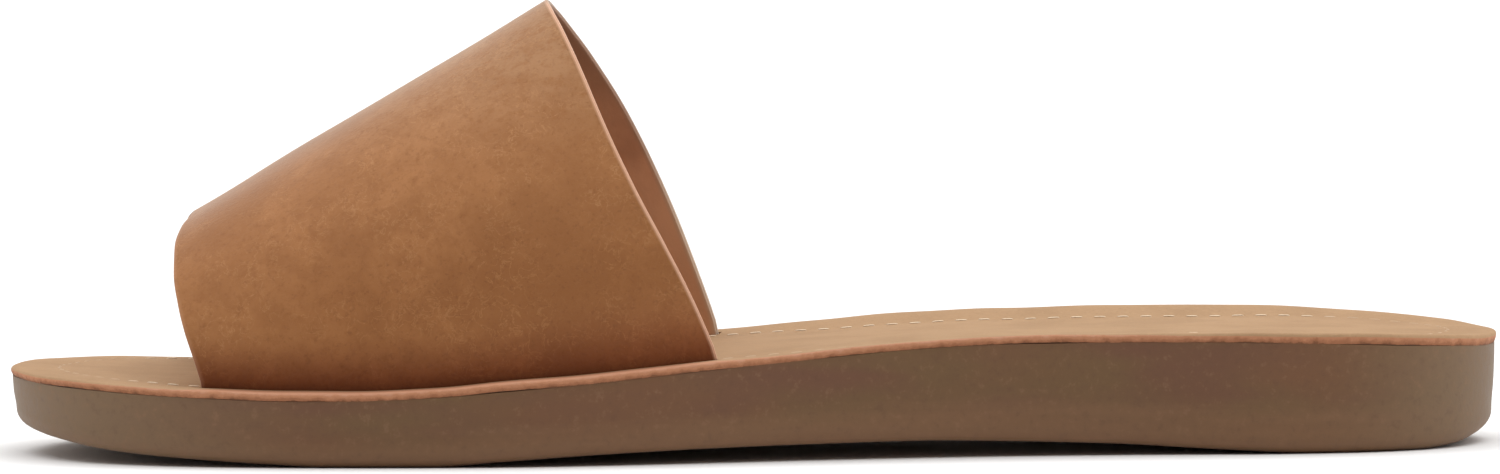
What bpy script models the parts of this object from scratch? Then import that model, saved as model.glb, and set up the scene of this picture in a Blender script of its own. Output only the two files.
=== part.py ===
"""Slide sandal for a left foot: a moulded sole unit, a footbed and a one-piece strap.

The toe points to -X, the outer (lateral) side of the foot to -Y and +Z is up.
The origin lies on the floor under the middle of the sandal. All sizes are in metres.
"""
import bmesh
import bpy
import numpy as np

# Sole unit
SOLE_LENGTH = 0.255
BALL_WIDTH = 0.092
HEEL_WIDTH = 0.061
BALL_THICKNESS = 0.0113
HEEL_THICKNESS = 0.0196
TOE_LIFT = 0.0022
TOE_SPRING = 0.0048
ARCH_RISE = 0.0029
MEDIAL_RIM = 0.0010
RIM_WIDTH = 0.010
CUP_DEPTH = 0.0008
CUP_WIDTH = 0.0085
SIDE_DRAFT = 0.0006
EDGE_RADIUS = 0.0030

# Tread grooves
GROOVE_WIDTH = 0.0026
GROOVE_DEPTH = 0.0014
GROOVE_PITCH = 0.0085
GROOVE_MARGIN = 0.011

# Footbed
FOOTBED_THICKNESS = 0.0012
FOOTBED_OVERHANG = 0.0003
FOOTBED_EDGE_RADIUS = 0.0006

# Strap
STRAP_THICKNESS = 0.0018
STRAP_FRONT = 0.0338
STRAP_REAR = 0.1217
CREST_REAR = 0.0926
FRONT_INSTEP = 0.0278
REAR_INSTEP = 0.0597
CREST_OFFSET = 0.0030
FRONT_BULGE = 0.0051
STRAP_INSET = 0.0045
BEND_RADIUS = 0.0025
LASTING_MARGIN = 0.0095

# Fit
CLEARANCE = 0.0003

# Insets of the rings that close the flat faces toward the middle line
MIDDLE_REACH = 0.0305
INNER_RING = 0.0155

# How finely the curved forms are divided
STATIONS = 48
HOOPS = 18
HOOP_STEPS = 36
ARC_STEPS = 4
OUTLINE_SAMPLES = 720
MERGE_DISTANCE = 0.000001
SHARP_DEGREES = 32.0


def columns(names, rows):
    """Turn a table's rows into one array for each named column."""
    return dict(zip(names, np.array(rows, dtype=float).T))


# Outline from above: along is a share of SOLE_LENGTH from the toe tip. The distance out from
# the middle line is a share of BALL_WIDTH plus a share of HEEL_WIDTH.
OUTLINE = columns(
    ("along", "lateral_ball", "lateral_heel", "medial_ball", "medial_heel"),
    (
        (0.00, -0.010, 0.000, 0.010, 0.000),
        (0.06, 0.325, 0.000, 0.380, 0.000),
        (0.13, 0.425, 0.000, 0.455, 0.000),
        (0.20, 0.470, 0.000, 0.492, 0.000),
        (0.27, 0.492, 0.000, 0.500, 0.000),
        (0.34, 0.500, 0.000, 0.475, 0.000),
        (0.43, 0.470, 0.000, 0.400, 0.000),
        (0.53, 0.320, 0.130, 0.250, 0.130),
        (0.64, 0.140, 0.320, 0.100, 0.300),
        (0.75, 0.000, 0.500, 0.000, 0.460),
        (0.85, 0.000, 0.510, 0.000, 0.490),
        (0.92, 0.000, 0.460, 0.000, 0.450),
        (0.97, 0.000, 0.325, 0.000, 0.325),
        (1.00, 0.000, 0.005, 0.000, -0.005),
    ),
)

# Heights along the sole: rise is a share of the step from BALL_THICKNESS to HEEL_THICKNESS,
# lift of TOE_LIFT, spring of TOE_SPRING, arch of ARCH_RISE, rim of MEDIAL_RIM, cup of
# CUP_DEPTH, which is how far the face sinks inside the rim, and footbed of FOOTBED_THICKNESS.
HEIGHTS = columns(
    ("along", "rise", "lift", "spring", "arch", "rim", "cup", "footbed"),
    (
        (0.00, 0.00, 1.00, 1.00, 0.00, 0.00, 0.00, 1.00),
        (0.03, 0.00, 0.80, 0.79, 0.00, 0.00, 0.00, 1.00),
        (0.06, 0.00, 0.64, 0.54, 0.00, 0.00, 0.00, 1.00),
        (0.09, 0.00, 0.45, 0.38, 0.00, 0.00, 0.00, 1.00),
        (0.13, 0.00, 0.27, 0.24, 0.00, 0.00, 0.00, 1.00),
        (0.18, 0.00, 0.08, 0.09, 0.00, 0.00, 0.00, 1.00),
        (0.215, 0.01, 0.02, 0.00, 0.00, 0.00, 0.00, 1.00),
        (0.285, 0.08, 0.00, 0.00, 0.00, 0.00, 0.00, 1.00),
        (0.33, 0.19, 0.00, 0.00, 0.27, 0.10, 0.04, 1.00),
        (0.40, 0.36, 0.00, 0.00, 0.63, 0.20, 0.18, 1.00),
        (0.47, 0.56, 0.00, 0.00, 0.84, 0.40, 0.44, 1.00),
        (0.54, 0.74, 0.00, 0.00, 0.94, 0.70, 0.76, 1.00),
        (0.61, 0.90, 0.00, 0.00, 1.00, 0.88, 0.96, 1.00),
        (0.67, 0.97, 0.00, 0.00, 0.88, 1.00, 1.00, 1.00),
        (0.74, 0.975, 0.00, 0.00, 0.66, 1.00, 1.00, 1.08),
        (0.81, 0.96, 0.00, 0.00, 0.28, 0.83, 1.00, 1.22),
        (0.88, 0.91, 0.00, 0.00, 0.00, 0.50, 1.00, 1.38),
        (0.945, 0.81, 0.00, 0.00, 0.00, 0.15, 0.99, 1.46),
        (0.97, 0.76, 0.00, 0.00, 0.20, 0.00, 0.72, 1.46),
        (1.00, 0.69, 0.00, 0.00, 0.80, 0.00, 0.00, 1.46),
    ),
)

# Cut of the strap's two edges: around is a share of the quarter turn from seat to crest,
# forward of FRONT_BULGE, and the rear columns of the sweep from the rear seat to the crest.
STRAP_EDGES = columns(
    ("around", "forward", "rear_lateral", "rear_medial"),
    (
        (0.00, 0.00, 0.00, 0.00),
        (0.10, 0.30, 0.155, 0.121),
        (0.20, 0.59, 0.319, 0.242),
        (0.30, 0.79, 0.473, 0.367),
        (0.45, 0.96, 0.657, 0.553),
        (0.60, 0.97, 0.793, 0.738),
        (0.75, 0.82, 0.902, 0.889),
        (0.88, 0.60, 0.971, 0.970),
        (1.00, 0.50, 1.00, 1.00),
    ),
)

# The sole's side from the rim down: depth is a share of the height above the rounded lower
# edge and inward of SIDE_DRAFT.
SIDE_SECTION = columns(
    ("depth", "inward"),
    (
        (0.0, 0.0),
        (0.5, 0.3),
        (1.0, 1.0),
    ),
)

# Rings between the rim and INNER_RING, as shares of RIM_WIDTH inward: rim on the sole, slot on
# the footbed, beside the strap's slots.
RINGS = columns(
    ("rim", "slot"),
    (
        (1.0, 0.8),
        (0.5, 0.3),
    ),
)

# The strap's section over the foot: powers of the cosine that it goes out by and of the sine
# that it goes up by.
HOOP_SECTION = columns(("out", "up"), ((0.92, 0.92),))

# Stretches of the tread that carry grooves, as shares of SOLE_LENGTH from the toe tip
TREAD_ZONES = columns(
    ("start", "end"),
    (
        (0.085, 0.375),
        (0.790, 0.940),
    ),
)

LATERAL, MEDIAL = -1.0, 1.0


def hermite(at, knots, values, tangent):
    """Cubic curve through a table's points with a given slope at each of them."""
    cell = np.clip(np.searchsorted(knots, at, side="right") - 1, 0, len(knots) - 2)
    width = knots[cell + 1] - knots[cell]
    t = (at - knots[cell]) / width
    start = (1.0 + 2.0 * t) * (1.0 - t) ** 2 * values[cell] + t * (1.0 - t) ** 2 * width * tangent[cell]
    end = t * t * (3.0 - 2.0 * t) * values[cell + 1] + t * t * (t - 1.0) * width * tangent[cell + 1]
    return start + end


def eased(at, knots, values, level_start=True):
    """Monotone cubic curve through a table's points, level at its ends and flat beyond them."""
    slope = np.diff(values) / np.diff(knots)
    before, after = slope[:-1], slope[1:]
    same_way = before * after > 0.0
    total = np.where(same_way, before + after, 1.0)
    inner = np.where(same_way, 2.0 * before * after / total, 0.0)
    tangent = np.concatenate(([0.0 if level_start else slope[0]], inner, [0.0]))
    return hermite(np.clip(at, knots[0], knots[-1]), knots, values, tangent)


def turn_at(along):
    """Angle round the outline for a share of the length: 0 at the toe, pi at the heel."""
    return np.arccos(np.clip(1.0 - 2.0 * np.asarray(along, dtype=float), -1.0, 1.0))


def smooth_curve(at, knots, values):
    """Cubic curve through a table's points, with each slope from its two neighbours."""
    return hermite(at, knots, values, np.gradient(values, knots))


def smooth_step(share):
    """Ease from 0 to 1 as share does, level at both ends."""
    share = np.clip(share, 0.0, 1.0)
    return share * share * (3.0 - 2.0 * share)


def breadth(turn, side):
    """Distance from the middle line to the outline on one side, at an angle round it."""
    name = "lateral" if side == LATERAL else "medial"
    out = OUTLINE[name + "_ball"] * BALL_WIDTH + OUTLINE[name + "_heel"] * HEEL_WIDTH
    return smooth_curve(turn, turn_at(OUTLINE["along"]), out)


def outline(turn, side, inset=0.0):
    """Points of the outline at angles round it, moved inward by inset."""
    def at(angle):
        return np.stack((-0.5 * SOLE_LENGTH * np.cos(angle), side * breadth(angle, side)), axis=-1)

    step = 0.5 * np.pi / OUTLINE_SAMPLES
    tangent = at(np.clip(turn + step, 0.0, np.pi)) - at(np.clip(turn - step, 0.0, np.pi))
    at_toe, at_heel = (turn <= 0.0)[..., None], (turn >= np.pi)[..., None]
    tangent = np.where(at_toe, (0.0, side), np.where(at_heel, (0.0, -side), tangent))
    tangent = tangent / np.linalg.norm(tangent, axis=-1, keepdims=True)
    inward = side * np.stack((tangent[..., 1], -tangent[..., 0]), axis=-1)
    return at(turn) + inset * inward


def inset_line(x, side, inset):
    """Plan points at places along X on the outline moved inward by inset."""
    path = outline(np.linspace(0.0, np.pi, OUTLINE_SAMPLES), side, inset)
    return np.stack((x, np.interp(x, path[:, 0], path[:, 1])), axis=-1)


def along_at(x):
    """Share of the length from the toe tip at a place along X."""
    return np.clip(x / SOLE_LENGTH + 0.5, 0.0, 1.0)


def height_column(x, name):
    """One column of the heights table at places along X."""
    return eased(along_at(x), HEIGHTS["along"], HEIGHTS[name])


def sole_top(x, y):
    """Height of the sole unit's upper face, cupped inside its rim and raised at its medial rim."""
    rise = height_column(x, "rise") * (HEEL_THICKNESS - BALL_THICKNESS)
    lift = height_column(x, "lift") * TOE_LIFT
    turn = turn_at(along_at(x))
    from_medial, from_lateral = breadth(turn, MEDIAL) - y, breadth(turn, LATERAL) + y
    rim = height_column(x, "rim") * MEDIAL_RIM * smooth_step(1.0 - from_medial / RIM_WIDTH)
    inside = smooth_step(np.minimum(from_medial, from_lateral) / CUP_WIDTH)
    cup = height_column(x, "cup") * CUP_DEPTH * inside
    return BALL_THICKNESS + rise + lift + rim - cup


def sole_under(x):
    """Height of the tread above the floor: toe spring, ball, arch and heel."""
    return height_column(x, "spring") * TOE_SPRING + height_column(x, "arch") * ARCH_RISE


def ring_turns():
    """Angles and sides of the points once round the outline, toe to heel and back."""
    turn = np.linspace(0.0, np.pi, STATIONS + 1)
    angles = np.concatenate((turn, turn[-2:0:-1]))
    sides = np.concatenate((np.full(STATIONS + 1, LATERAL), np.full(STATIONS - 1, MEDIAL)))
    return angles, sides


def ring(inset):
    """Plan points once round the outline, moved inward by inset."""
    angles, sides = ring_turns()
    lateral = outline(angles, LATERAL, inset)
    medial = outline(angles, MEDIAL, inset)
    return np.where((sides == LATERAL)[:, None], lateral, medial)


def spine_ring():
    """Plan points on the middle line that the ring's points close in on."""
    angles, _ = ring_turns()
    half = 0.5 * SOLE_LENGTH - MIDDLE_REACH
    x = np.clip(-0.5 * SOLE_LENGTH * np.cos(angles), -half, half)
    turn = turn_at(along_at(x))
    middle = 0.5 * (breadth(turn, MEDIAL) - breadth(turn, LATERAL))
    return np.stack((x, middle), axis=-1)


def new_object(name, mesh, collection, colour=None, roughness=0.7):
    """Put a mesh into a collection as an object, with its own material if it has a colour."""
    thing = bpy.data.objects.new(name, mesh)
    collection.objects.link(thing)
    if colour is not None:
        material = bpy.data.materials.new(name + "_finish")
        material.use_nodes = True
        shader = material.node_tree.nodes["Principled BSDF"]
        shader.inputs["Base Color"].default_value = (*colour, 1.0)
        shader.inputs["Roughness"].default_value = roughness
        shader.inputs["Metallic"].default_value = 0.0
        mesh.materials.append(material)
    return thing


def grid_mesh(name, grid, around, along):
    """Mesh of a grid of points; around and along say which of its directions close up."""
    rows, places = grid.shape[:2]
    index = np.arange(rows * places).reshape(rows, places)
    if around:
        index = np.concatenate((index, index[:, :1]), axis=1)
    if along:
        index = np.concatenate((index, index[:1]), axis=0)
    faces = np.stack((index[:-1, :-1], index[1:, :-1], index[1:, 1:], index[:-1, 1:]), axis=-1)
    mesh = bpy.data.meshes.new(name)
    mesh.from_pydata(grid.reshape(-1, 3).tolist(), [], faces.reshape(-1, 4).tolist())
    return mesh


def tidy_mesh(mesh):
    """Weld doubled points and turn every face outward."""
    work = bmesh.new()
    work.from_mesh(mesh)
    bmesh.ops.remove_doubles(work, verts=work.verts, dist=MERGE_DISTANCE)
    bmesh.ops.recalc_face_normals(work, faces=work.faces)
    work.to_mesh(mesh)
    work.free()


def soften(mesh):
    """Shade a mesh smooth apart from its sharp edges."""
    mesh.shade_smooth()
    mesh.set_sharp_from_angle(angle=np.radians(SHARP_DEGREES))


def lofted(name, rings):
    """Closed mesh through plan rings with heights, from the first ring to the last."""
    grid = np.stack([np.column_stack((plan, height)) for plan, height in rings])
    mesh = grid_mesh(name, grid, around=True, along=False)
    tidy_mesh(mesh)
    soften(mesh)
    return mesh


def level(plan, height_of):
    """Pair a plan ring with its heights."""
    return plan, height_of(plan[:, 0], plan[:, 1])


def cut(thing, cutter):
    """Take a cutter's shape out of an object."""
    modifier = thing.modifiers.new("Cut_" + cutter.name, "BOOLEAN")
    modifier.operation = "DIFFERENCE"
    modifier.solver = "EXACT"
    modifier.object = cutter
    cutter.hide_render = True
    cutter.display_type = "WIRE"


def band_mesh(name, side, inset_range, bottom_of, top_of):
    """Closed band along the strap's seat that follows the outline between two insets."""
    front = STRAP_FRONT - CLEARANCE - 0.5 * SOLE_LENGTH
    rear = STRAP_REAR + CLEARANCE - 0.5 * SOLE_LENGTH
    places = np.linspace(front, rear, HOOPS + 1)
    outer = inset_line(places, side, inset_range[0])
    inner = inset_line(places, side, inset_range[1])
    corners = [
        np.column_stack((outer, bottom_of(outer[:, 0], outer[:, 1]))),
        np.column_stack((inner, bottom_of(inner[:, 0], inner[:, 1]))),
        np.column_stack((inner, top_of(inner[:, 0], inner[:, 1]))),
        np.column_stack((outer, top_of(outer[:, 0], outer[:, 1]))),
    ]
    grid = np.stack(corners, axis=1)
    mesh = grid_mesh(name, grid, around=True, along=False)
    work = bmesh.new()
    work.from_mesh(mesh)
    bmesh.ops.holes_fill(work, edges=[edge for edge in work.edges if edge.is_boundary], sides=4)
    bmesh.ops.recalc_face_normals(work, faces=work.faces)
    work.to_mesh(mesh)
    work.free()
    return mesh


def footbed_under(x, y):
    """Height of the footbed's underside."""
    return sole_top(x, y) + CLEARANCE


def footbed_thickness(x):
    """Thickness of the footbed at places along X, thicker toward the heel."""
    return height_column(x, "footbed") * FOOTBED_THICKNESS


def footbed_top(x, y):
    """Height of the footbed's upper face."""
    return footbed_under(x, y) + footbed_thickness(x)


def margin_under(x, y):
    """Height of the strap's underside where it is lasted between sole and footbed."""
    return sole_top(x, y) - STRAP_THICKNESS


def build_sole(collection, cutters):
    """Moulded sole unit: drafted side, rounded lower edge, seat for the strap and tread grooves."""
    spine = spine_ring()
    rings = [level(spine, sole_top), level(ring(INNER_RING), sole_top)]
    rings += [level(ring(share * RIM_WIDTH), sole_top) for share in RINGS["rim"]]

    rim = ring(0.0)
    rim_height = sole_top(rim[:, 0], rim[:, 1])
    for depth, inward in zip(SIDE_SECTION["depth"], SIDE_SECTION["inward"]):
        plan = ring(inward * SIDE_DRAFT)
        foot = sole_under(plan[:, 0]) + EDGE_RADIUS
        rings.append((plan, rim_height + depth * (foot - rim_height)))
    for step in range(1, ARC_STEPS + 1):
        angle = 0.5 * np.pi * step / ARC_STEPS
        plan = ring(SIDE_DRAFT + EDGE_RADIUS * (1.0 - np.cos(angle)))
        rings.append((plan, sole_under(plan[:, 0]) + EDGE_RADIUS * (1.0 - np.sin(angle))))
    for inset in (RIM_WIDTH, INNER_RING):
        plan = ring(inset)
        rings.append((plan, sole_under(plan[:, 0])))
    rings.append((spine, sole_under(spine[:, 0])))

    sole = new_object("unit_sole", lofted("unit_sole", rings), collection, (0.155, 0.077, 0.040), 0.62)

    outer = STRAP_INSET - CLEARANCE
    inner = STRAP_INSET + BEND_RADIUS + LASTING_MARGIN + CLEARANCE
    for side, label in ((LATERAL, "lateral"), (MEDIAL, "medial")):
        name = "strap_seat_" + label
        mesh = band_mesh(
            name, side, (outer, inner),
            lambda x, y: margin_under(x, y) - CLEARANCE,
            lambda x, y: sole_top(x, y) + STRAP_THICKNESS,
        )
        cut(sole, new_object(name, mesh, cutters))
    cut(sole, build_groove_cutter(cutters))
    return sole


def build_groove_cutter(cutters):
    """All the tread grooves as one cutter: round-ended bars across the sole."""
    work = bmesh.new()
    for start, end in zip(TREAD_ZONES["start"], TREAD_ZONES["end"]):
        count = int((end - start) * SOLE_LENGTH / GROOVE_PITCH) + 1
        first = 0.5 * (start + end) * SOLE_LENGTH - 0.5 * (count - 1) * GROOVE_PITCH
        for number in range(count):
            x = first + number * GROOVE_PITCH - 0.5 * SOLE_LENGTH
            turn = turn_at(along_at(np.array(x)))
            low = -breadth(turn, LATERAL) + GROOVE_MARGIN
            high = breadth(turn, MEDIAL) - GROOVE_MARGIN
            add_groove(work, x, float(low), float(high))
    mesh = bpy.data.meshes.new("tread_grooves")
    work.to_mesh(mesh)
    work.free()
    return new_object("tread_grooves", mesh, cutters)


def add_groove(work, x, low, high):
    """One round-ended bar across the sole, from low to high along Y."""
    roof = float(sole_under(np.array(x))) + GROOVE_DEPTH
    floor = -GROOVE_DEPTH
    made = bmesh.ops.create_cube(work, size=1.0)
    bmesh.ops.scale(work, vec=(GROOVE_WIDTH, high - low, roof - floor), verts=made["verts"])
    bmesh.ops.translate(work, vec=(x, 0.5 * (low + high), 0.5 * (roof + floor)), verts=made["verts"])
    upright = [
        edge for edge in {edge for vert in made["verts"] for edge in vert.link_edges}
        if abs(edge.verts[0].co.z - edge.verts[1].co.z) > 0.5 * (roof - floor)
    ]
    bmesh.ops.bevel(
        work, geom=upright, offset=0.5 * GROOVE_WIDTH - MERGE_DISTANCE, offset_type="OFFSET",
        segments=ARC_STEPS, profile=0.5, affect="EDGES",
    )


def build_footbed(collection, cutters):
    """Footbed board with its covered face, a softened upper edge and two slots for the strap."""
    spine = spine_ring()
    inner_insets = [INNER_RING] + [share * RIM_WIDTH for share in RINGS["slot"]]
    rings = [level(spine, footbed_under)]
    rings += [level(ring(inset), footbed_under) for inset in inner_insets]
    rim = ring(-FOOTBED_OVERHANG)
    base = ring(0.0)
    under, upper = footbed_under(base[:, 0], base[:, 1]), footbed_top(base[:, 0], base[:, 1])
    rings.append((rim, under))
    for step in range(ARC_STEPS):
        angle = 0.5 * np.pi * step / ARC_STEPS
        inset = FOOTBED_EDGE_RADIUS * (1.0 - np.cos(angle)) - FOOTBED_OVERHANG
        drop = FOOTBED_EDGE_RADIUS * (1.0 - np.sin(angle))
        rings.append((ring(inset), upper - drop))
    rings.append(level(ring(FOOTBED_EDGE_RADIUS), footbed_top))
    rings += [level(ring(inset), footbed_top) for inset in reversed(inner_insets)]
    rings.append(level(spine, footbed_top))

    footbed = new_object("insole", lofted("insole", rings), collection, (0.56, 0.37, 0.22), 0.75)
    outer = STRAP_INSET - CLEARANCE
    inner = STRAP_INSET + STRAP_THICKNESS + CLEARANCE
    for side, label in ((LATERAL, "lateral"), (MEDIAL, "medial")):
        name = "strap_slot_" + label
        mesh = band_mesh(
            name, side, (outer, inner),
            lambda x, y: footbed_under(x, y) - FOOTBED_THICKNESS,
            lambda x, y: footbed_top(x, y) + FOOTBED_THICKNESS,
        )
        cut(footbed, new_object(name, mesh, cutters))
    return footbed


def strap_seat(shares, side, inset):
    """Plan points of the strap's seat, from its front to its rear."""
    x = STRAP_FRONT + shares * (STRAP_REAR - STRAP_FRONT) - 0.5 * SOLE_LENGTH
    return inset_line(x, side, inset)


def strap_margin(shares, side):
    """Rows of the strap's outer face from its lasted margin up to the footbed, on one side."""
    rows = []
    end = strap_seat(shares, side, STRAP_INSET + BEND_RADIUS + LASTING_MARGIN)
    rows.append(np.column_stack((end, margin_under(end[:, 0], end[:, 1]))))
    middle = strap_seat(shares, side, STRAP_INSET + BEND_RADIUS + 0.5 * LASTING_MARGIN)
    rows.append(np.column_stack((middle, margin_under(middle[:, 0], middle[:, 1]))))
    for step in range(ARC_STEPS + 1):
        angle = 0.5 * np.pi * step / ARC_STEPS
        plan = strap_seat(shares, side, STRAP_INSET + BEND_RADIUS * (1.0 - np.sin(angle)))
        height = margin_under(plan[:, 0], plan[:, 1]) + BEND_RADIUS * (1.0 - np.cos(angle))
        rows.append(np.column_stack((plan, height)))
    return rows


def strap_hoop(shares, side, arounds):
    """Rows of the strap's outer face over the foot, from one seat to the crest."""
    seat = strap_seat(shares, side, STRAP_INSET)
    seat_height = footbed_top(seat[:, 0], seat[:, 1])
    front_height = footbed_top(seat[:1, 0], np.zeros(1)) + FRONT_INSTEP
    rear_height = footbed_top(seat[-1:, 0], np.zeros(1)) + REAR_INSTEP
    crest_height = front_height + shares * (rear_height - front_height)

    half = 0.5 * SOLE_LENGTH
    rear_name = "rear_lateral" if side == LATERAL else "rear_medial"
    rows = []
    for around in arounds:
        angle = 0.5 * np.pi * around
        out_share = max(0.0, np.cos(angle)) ** HOOP_SECTION["out"]
        height_share = np.sin(angle) ** HOOP_SECTION["up"]
        forward = FRONT_BULGE * eased(around, STRAP_EDGES["around"], STRAP_EDGES["forward"], False)
        sweep = eased(around, STRAP_EDGES["around"], STRAP_EDGES[rear_name], False)
        front_x = STRAP_FRONT - forward - half
        rear_x = STRAP_REAR - sweep * (STRAP_REAR - CREST_REAR) - half
        x = front_x + shares * (rear_x - front_x)
        y = CREST_OFFSET + (seat[:, 1] - CREST_OFFSET) * out_share
        z = seat_height + (crest_height - seat_height) * height_share
        rows.append(np.column_stack((x, y, z)))
    return rows


def build_strap(collection):
    """One-piece strap: a hoop over the foot whose ends are lasted between footbed and sole."""
    shares = np.linspace(0.0, 1.0, HOOPS + 1)
    arounds = np.linspace(0.0, 1.0, HOOP_STEPS // 2 + 1)
    rows = strap_margin(shares, MEDIAL) + strap_hoop(shares, MEDIAL, arounds)
    rows += strap_hoop(shares, LATERAL, arounds[-2::-1]) + strap_margin(shares, LATERAL)[::-1]
    mesh = grid_mesh("strap", np.stack(rows), around=False, along=False)
    soften(mesh)
    strap = new_object("strap", mesh, collection, (0.42, 0.21, 0.105), 0.85)
    wall = strap.modifiers.new("Wall", "SOLIDIFY")
    wall.thickness = STRAP_THICKNESS
    wall.offset = -1.0
    wall.use_even_offset = True
    wall.use_quality_normals = True
    return strap


def main():
    """Clear the scene and build the sandal's three pieces."""
    for thing in list(bpy.data.objects):
        bpy.data.objects.remove(thing, do_unlink=True)
    pieces = bpy.data.collections.new("Slide_Sandal")
    cutters = bpy.data.collections.new("Cutters")
    for collection in (pieces, cutters):
        bpy.context.scene.collection.children.link(collection)
    build_sole(pieces, cutters)
    build_footbed(pieces, cutters)
    build_strap(pieces)


main()
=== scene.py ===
"""Visual model of a slide sandal for a left foot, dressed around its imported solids.

The toe points to -X, the outer (lateral) side of the foot to -Y and +Z is up. The origin lies on
the floor under the middle of the sandal. All sizes are in metres.
"""
import logging
import math
from collections.abc import Callable
from dataclasses import dataclass
from enum import Enum

import bmesh
import bpy
import numpy as np
from mathutils import Matrix, Vector


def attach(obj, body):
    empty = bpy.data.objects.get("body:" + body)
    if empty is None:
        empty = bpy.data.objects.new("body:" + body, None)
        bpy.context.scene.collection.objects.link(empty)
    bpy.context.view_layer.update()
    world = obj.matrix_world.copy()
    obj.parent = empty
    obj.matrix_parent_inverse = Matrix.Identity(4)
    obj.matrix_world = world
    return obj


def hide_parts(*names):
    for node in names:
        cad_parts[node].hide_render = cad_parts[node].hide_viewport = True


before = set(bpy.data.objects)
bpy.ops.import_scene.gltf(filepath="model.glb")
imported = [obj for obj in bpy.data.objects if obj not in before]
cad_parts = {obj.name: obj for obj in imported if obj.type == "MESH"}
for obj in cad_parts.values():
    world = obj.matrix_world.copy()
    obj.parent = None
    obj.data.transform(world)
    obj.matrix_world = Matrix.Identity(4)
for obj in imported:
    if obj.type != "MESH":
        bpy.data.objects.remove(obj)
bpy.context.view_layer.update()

log = logging.getLogger("slide_sandal")

Array = np.ndarray
Range = tuple[float, float]
Triple = tuple[float, float, float]
Colour = Triple
Socket = bpy.types.NodeSocket

WHITE: Colour = (1.0, 1.0, 1.0)


class Side(Enum):
    """Side of the foot, with the sign of its Y."""

    LATERAL = -1.0
    MEDIAL = 1.0


class Blend(Enum):
    """How one colour is laid over another."""

    PLAIN = "MIX"
    SHADE = "MULTIPLY"


def columns(names: tuple[str, ...], rows: tuple[tuple[float, ...], ...]) -> dict[str, Array]:
    """Turn a table's rows into one array for each named column.

    Args:
        names: the columns' names, in order.
        rows: the table's rows.

    Returns:
        Each column's values under its name.
    """
    return dict(zip(names, np.array(rows, dtype=float).T))


# Outline from above: along is a share of the sole's length from the toe tip. The distance out
# from the middle line is a share of the ball's width plus a share of the heel's.
OUTLINE = columns(
    ("along", "lateral_ball", "lateral_heel", "medial_ball", "medial_heel"),
    (
        (0.00, -0.010, 0.000, 0.010, 0.000),
        (0.06, 0.325, 0.000, 0.380, 0.000),
        (0.13, 0.425, 0.000, 0.455, 0.000),
        (0.20, 0.470, 0.000, 0.492, 0.000),
        (0.27, 0.492, 0.000, 0.500, 0.000),
        (0.34, 0.500, 0.000, 0.475, 0.000),
        (0.43, 0.470, 0.000, 0.400, 0.000),
        (0.53, 0.320, 0.130, 0.250, 0.130),
        (0.64, 0.140, 0.320, 0.100, 0.300),
        (0.75, 0.000, 0.500, 0.000, 0.460),
        (0.85, 0.000, 0.510, 0.000, 0.490),
        (0.92, 0.000, 0.460, 0.000, 0.450),
        (0.97, 0.000, 0.325, 0.000, 0.325),
        (1.00, 0.000, 0.005, 0.000, -0.005),
    ),
)

# Heights along the sole, each a share of its own size: rise from the ball's thickness to the
# heel's, toe lift, toe spring, arch, medial rim, cup inside the rim and footbed thickness.
HEIGHTS = columns(
    ("along", "rise", "lift", "spring", "arch", "rim", "cup", "footbed"),
    (
        (0.00, 0.00, 1.00, 1.00, 0.00, 0.00, 0.00, 1.00),
        (0.03, 0.00, 0.80, 0.79, 0.00, 0.00, 0.00, 1.00),
        (0.06, 0.00, 0.64, 0.54, 0.00, 0.00, 0.00, 1.00),
        (0.09, 0.00, 0.45, 0.38, 0.00, 0.00, 0.00, 1.00),
        (0.13, 0.00, 0.27, 0.24, 0.00, 0.00, 0.00, 1.00),
        (0.18, 0.00, 0.08, 0.09, 0.00, 0.00, 0.00, 1.00),
        (0.215, 0.01, 0.02, 0.00, 0.00, 0.00, 0.00, 1.00),
        (0.285, 0.08, 0.00, 0.00, 0.00, 0.00, 0.00, 1.00),
        (0.33, 0.19, 0.00, 0.00, 0.27, 0.10, 0.04, 1.00),
        (0.40, 0.36, 0.00, 0.00, 0.63, 0.20, 0.18, 1.00),
        (0.47, 0.56, 0.00, 0.00, 0.84, 0.40, 0.44, 1.00),
        (0.54, 0.74, 0.00, 0.00, 0.94, 0.70, 0.76, 1.00),
        (0.61, 0.90, 0.00, 0.00, 1.00, 0.88, 0.96, 1.00),
        (0.67, 0.97, 0.00, 0.00, 0.88, 1.00, 1.00, 1.00),
        (0.74, 0.975, 0.00, 0.00, 0.66, 1.00, 1.00, 1.08),
        (0.81, 0.96, 0.00, 0.00, 0.28, 0.83, 1.00, 1.22),
        (0.88, 0.91, 0.00, 0.00, 0.00, 0.50, 1.00, 1.38),
        (0.945, 0.81, 0.00, 0.00, 0.00, 0.15, 0.99, 1.46),
        (0.97, 0.76, 0.00, 0.00, 0.20, 0.00, 0.72, 1.46),
        (1.00, 0.69, 0.00, 0.00, 0.80, 0.00, 0.00, 1.46),
    ),
)

# Cut of the strap's two edges: around is a share of the quarter turn from seat to crest, forward
# of the front bulge, and the rear columns of the sweep from the rear seat to the crest.
STRAP_EDGES = columns(
    ("around", "forward", "rear_lateral", "rear_medial"),
    (
        (0.00, 0.00, 0.00, 0.00),
        (0.10, 0.30, 0.155, 0.121),
        (0.20, 0.59, 0.319, 0.242),
        (0.30, 0.79, 0.473, 0.367),
        (0.45, 0.96, 0.657, 0.553),
        (0.60, 0.97, 0.793, 0.738),
        (0.75, 0.82, 0.902, 0.889),
        (0.88, 0.60, 0.971, 0.970),
        (1.00, 0.50, 1.00, 1.00),
    ),
)

# The sole's side from the rim down: depth is a share of its height and inward of the draft.
SIDE_SECTION = columns(("depth", "inward"), ((0.0, 0.0), (0.5, 0.3), (1.0, 1.0)))

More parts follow.
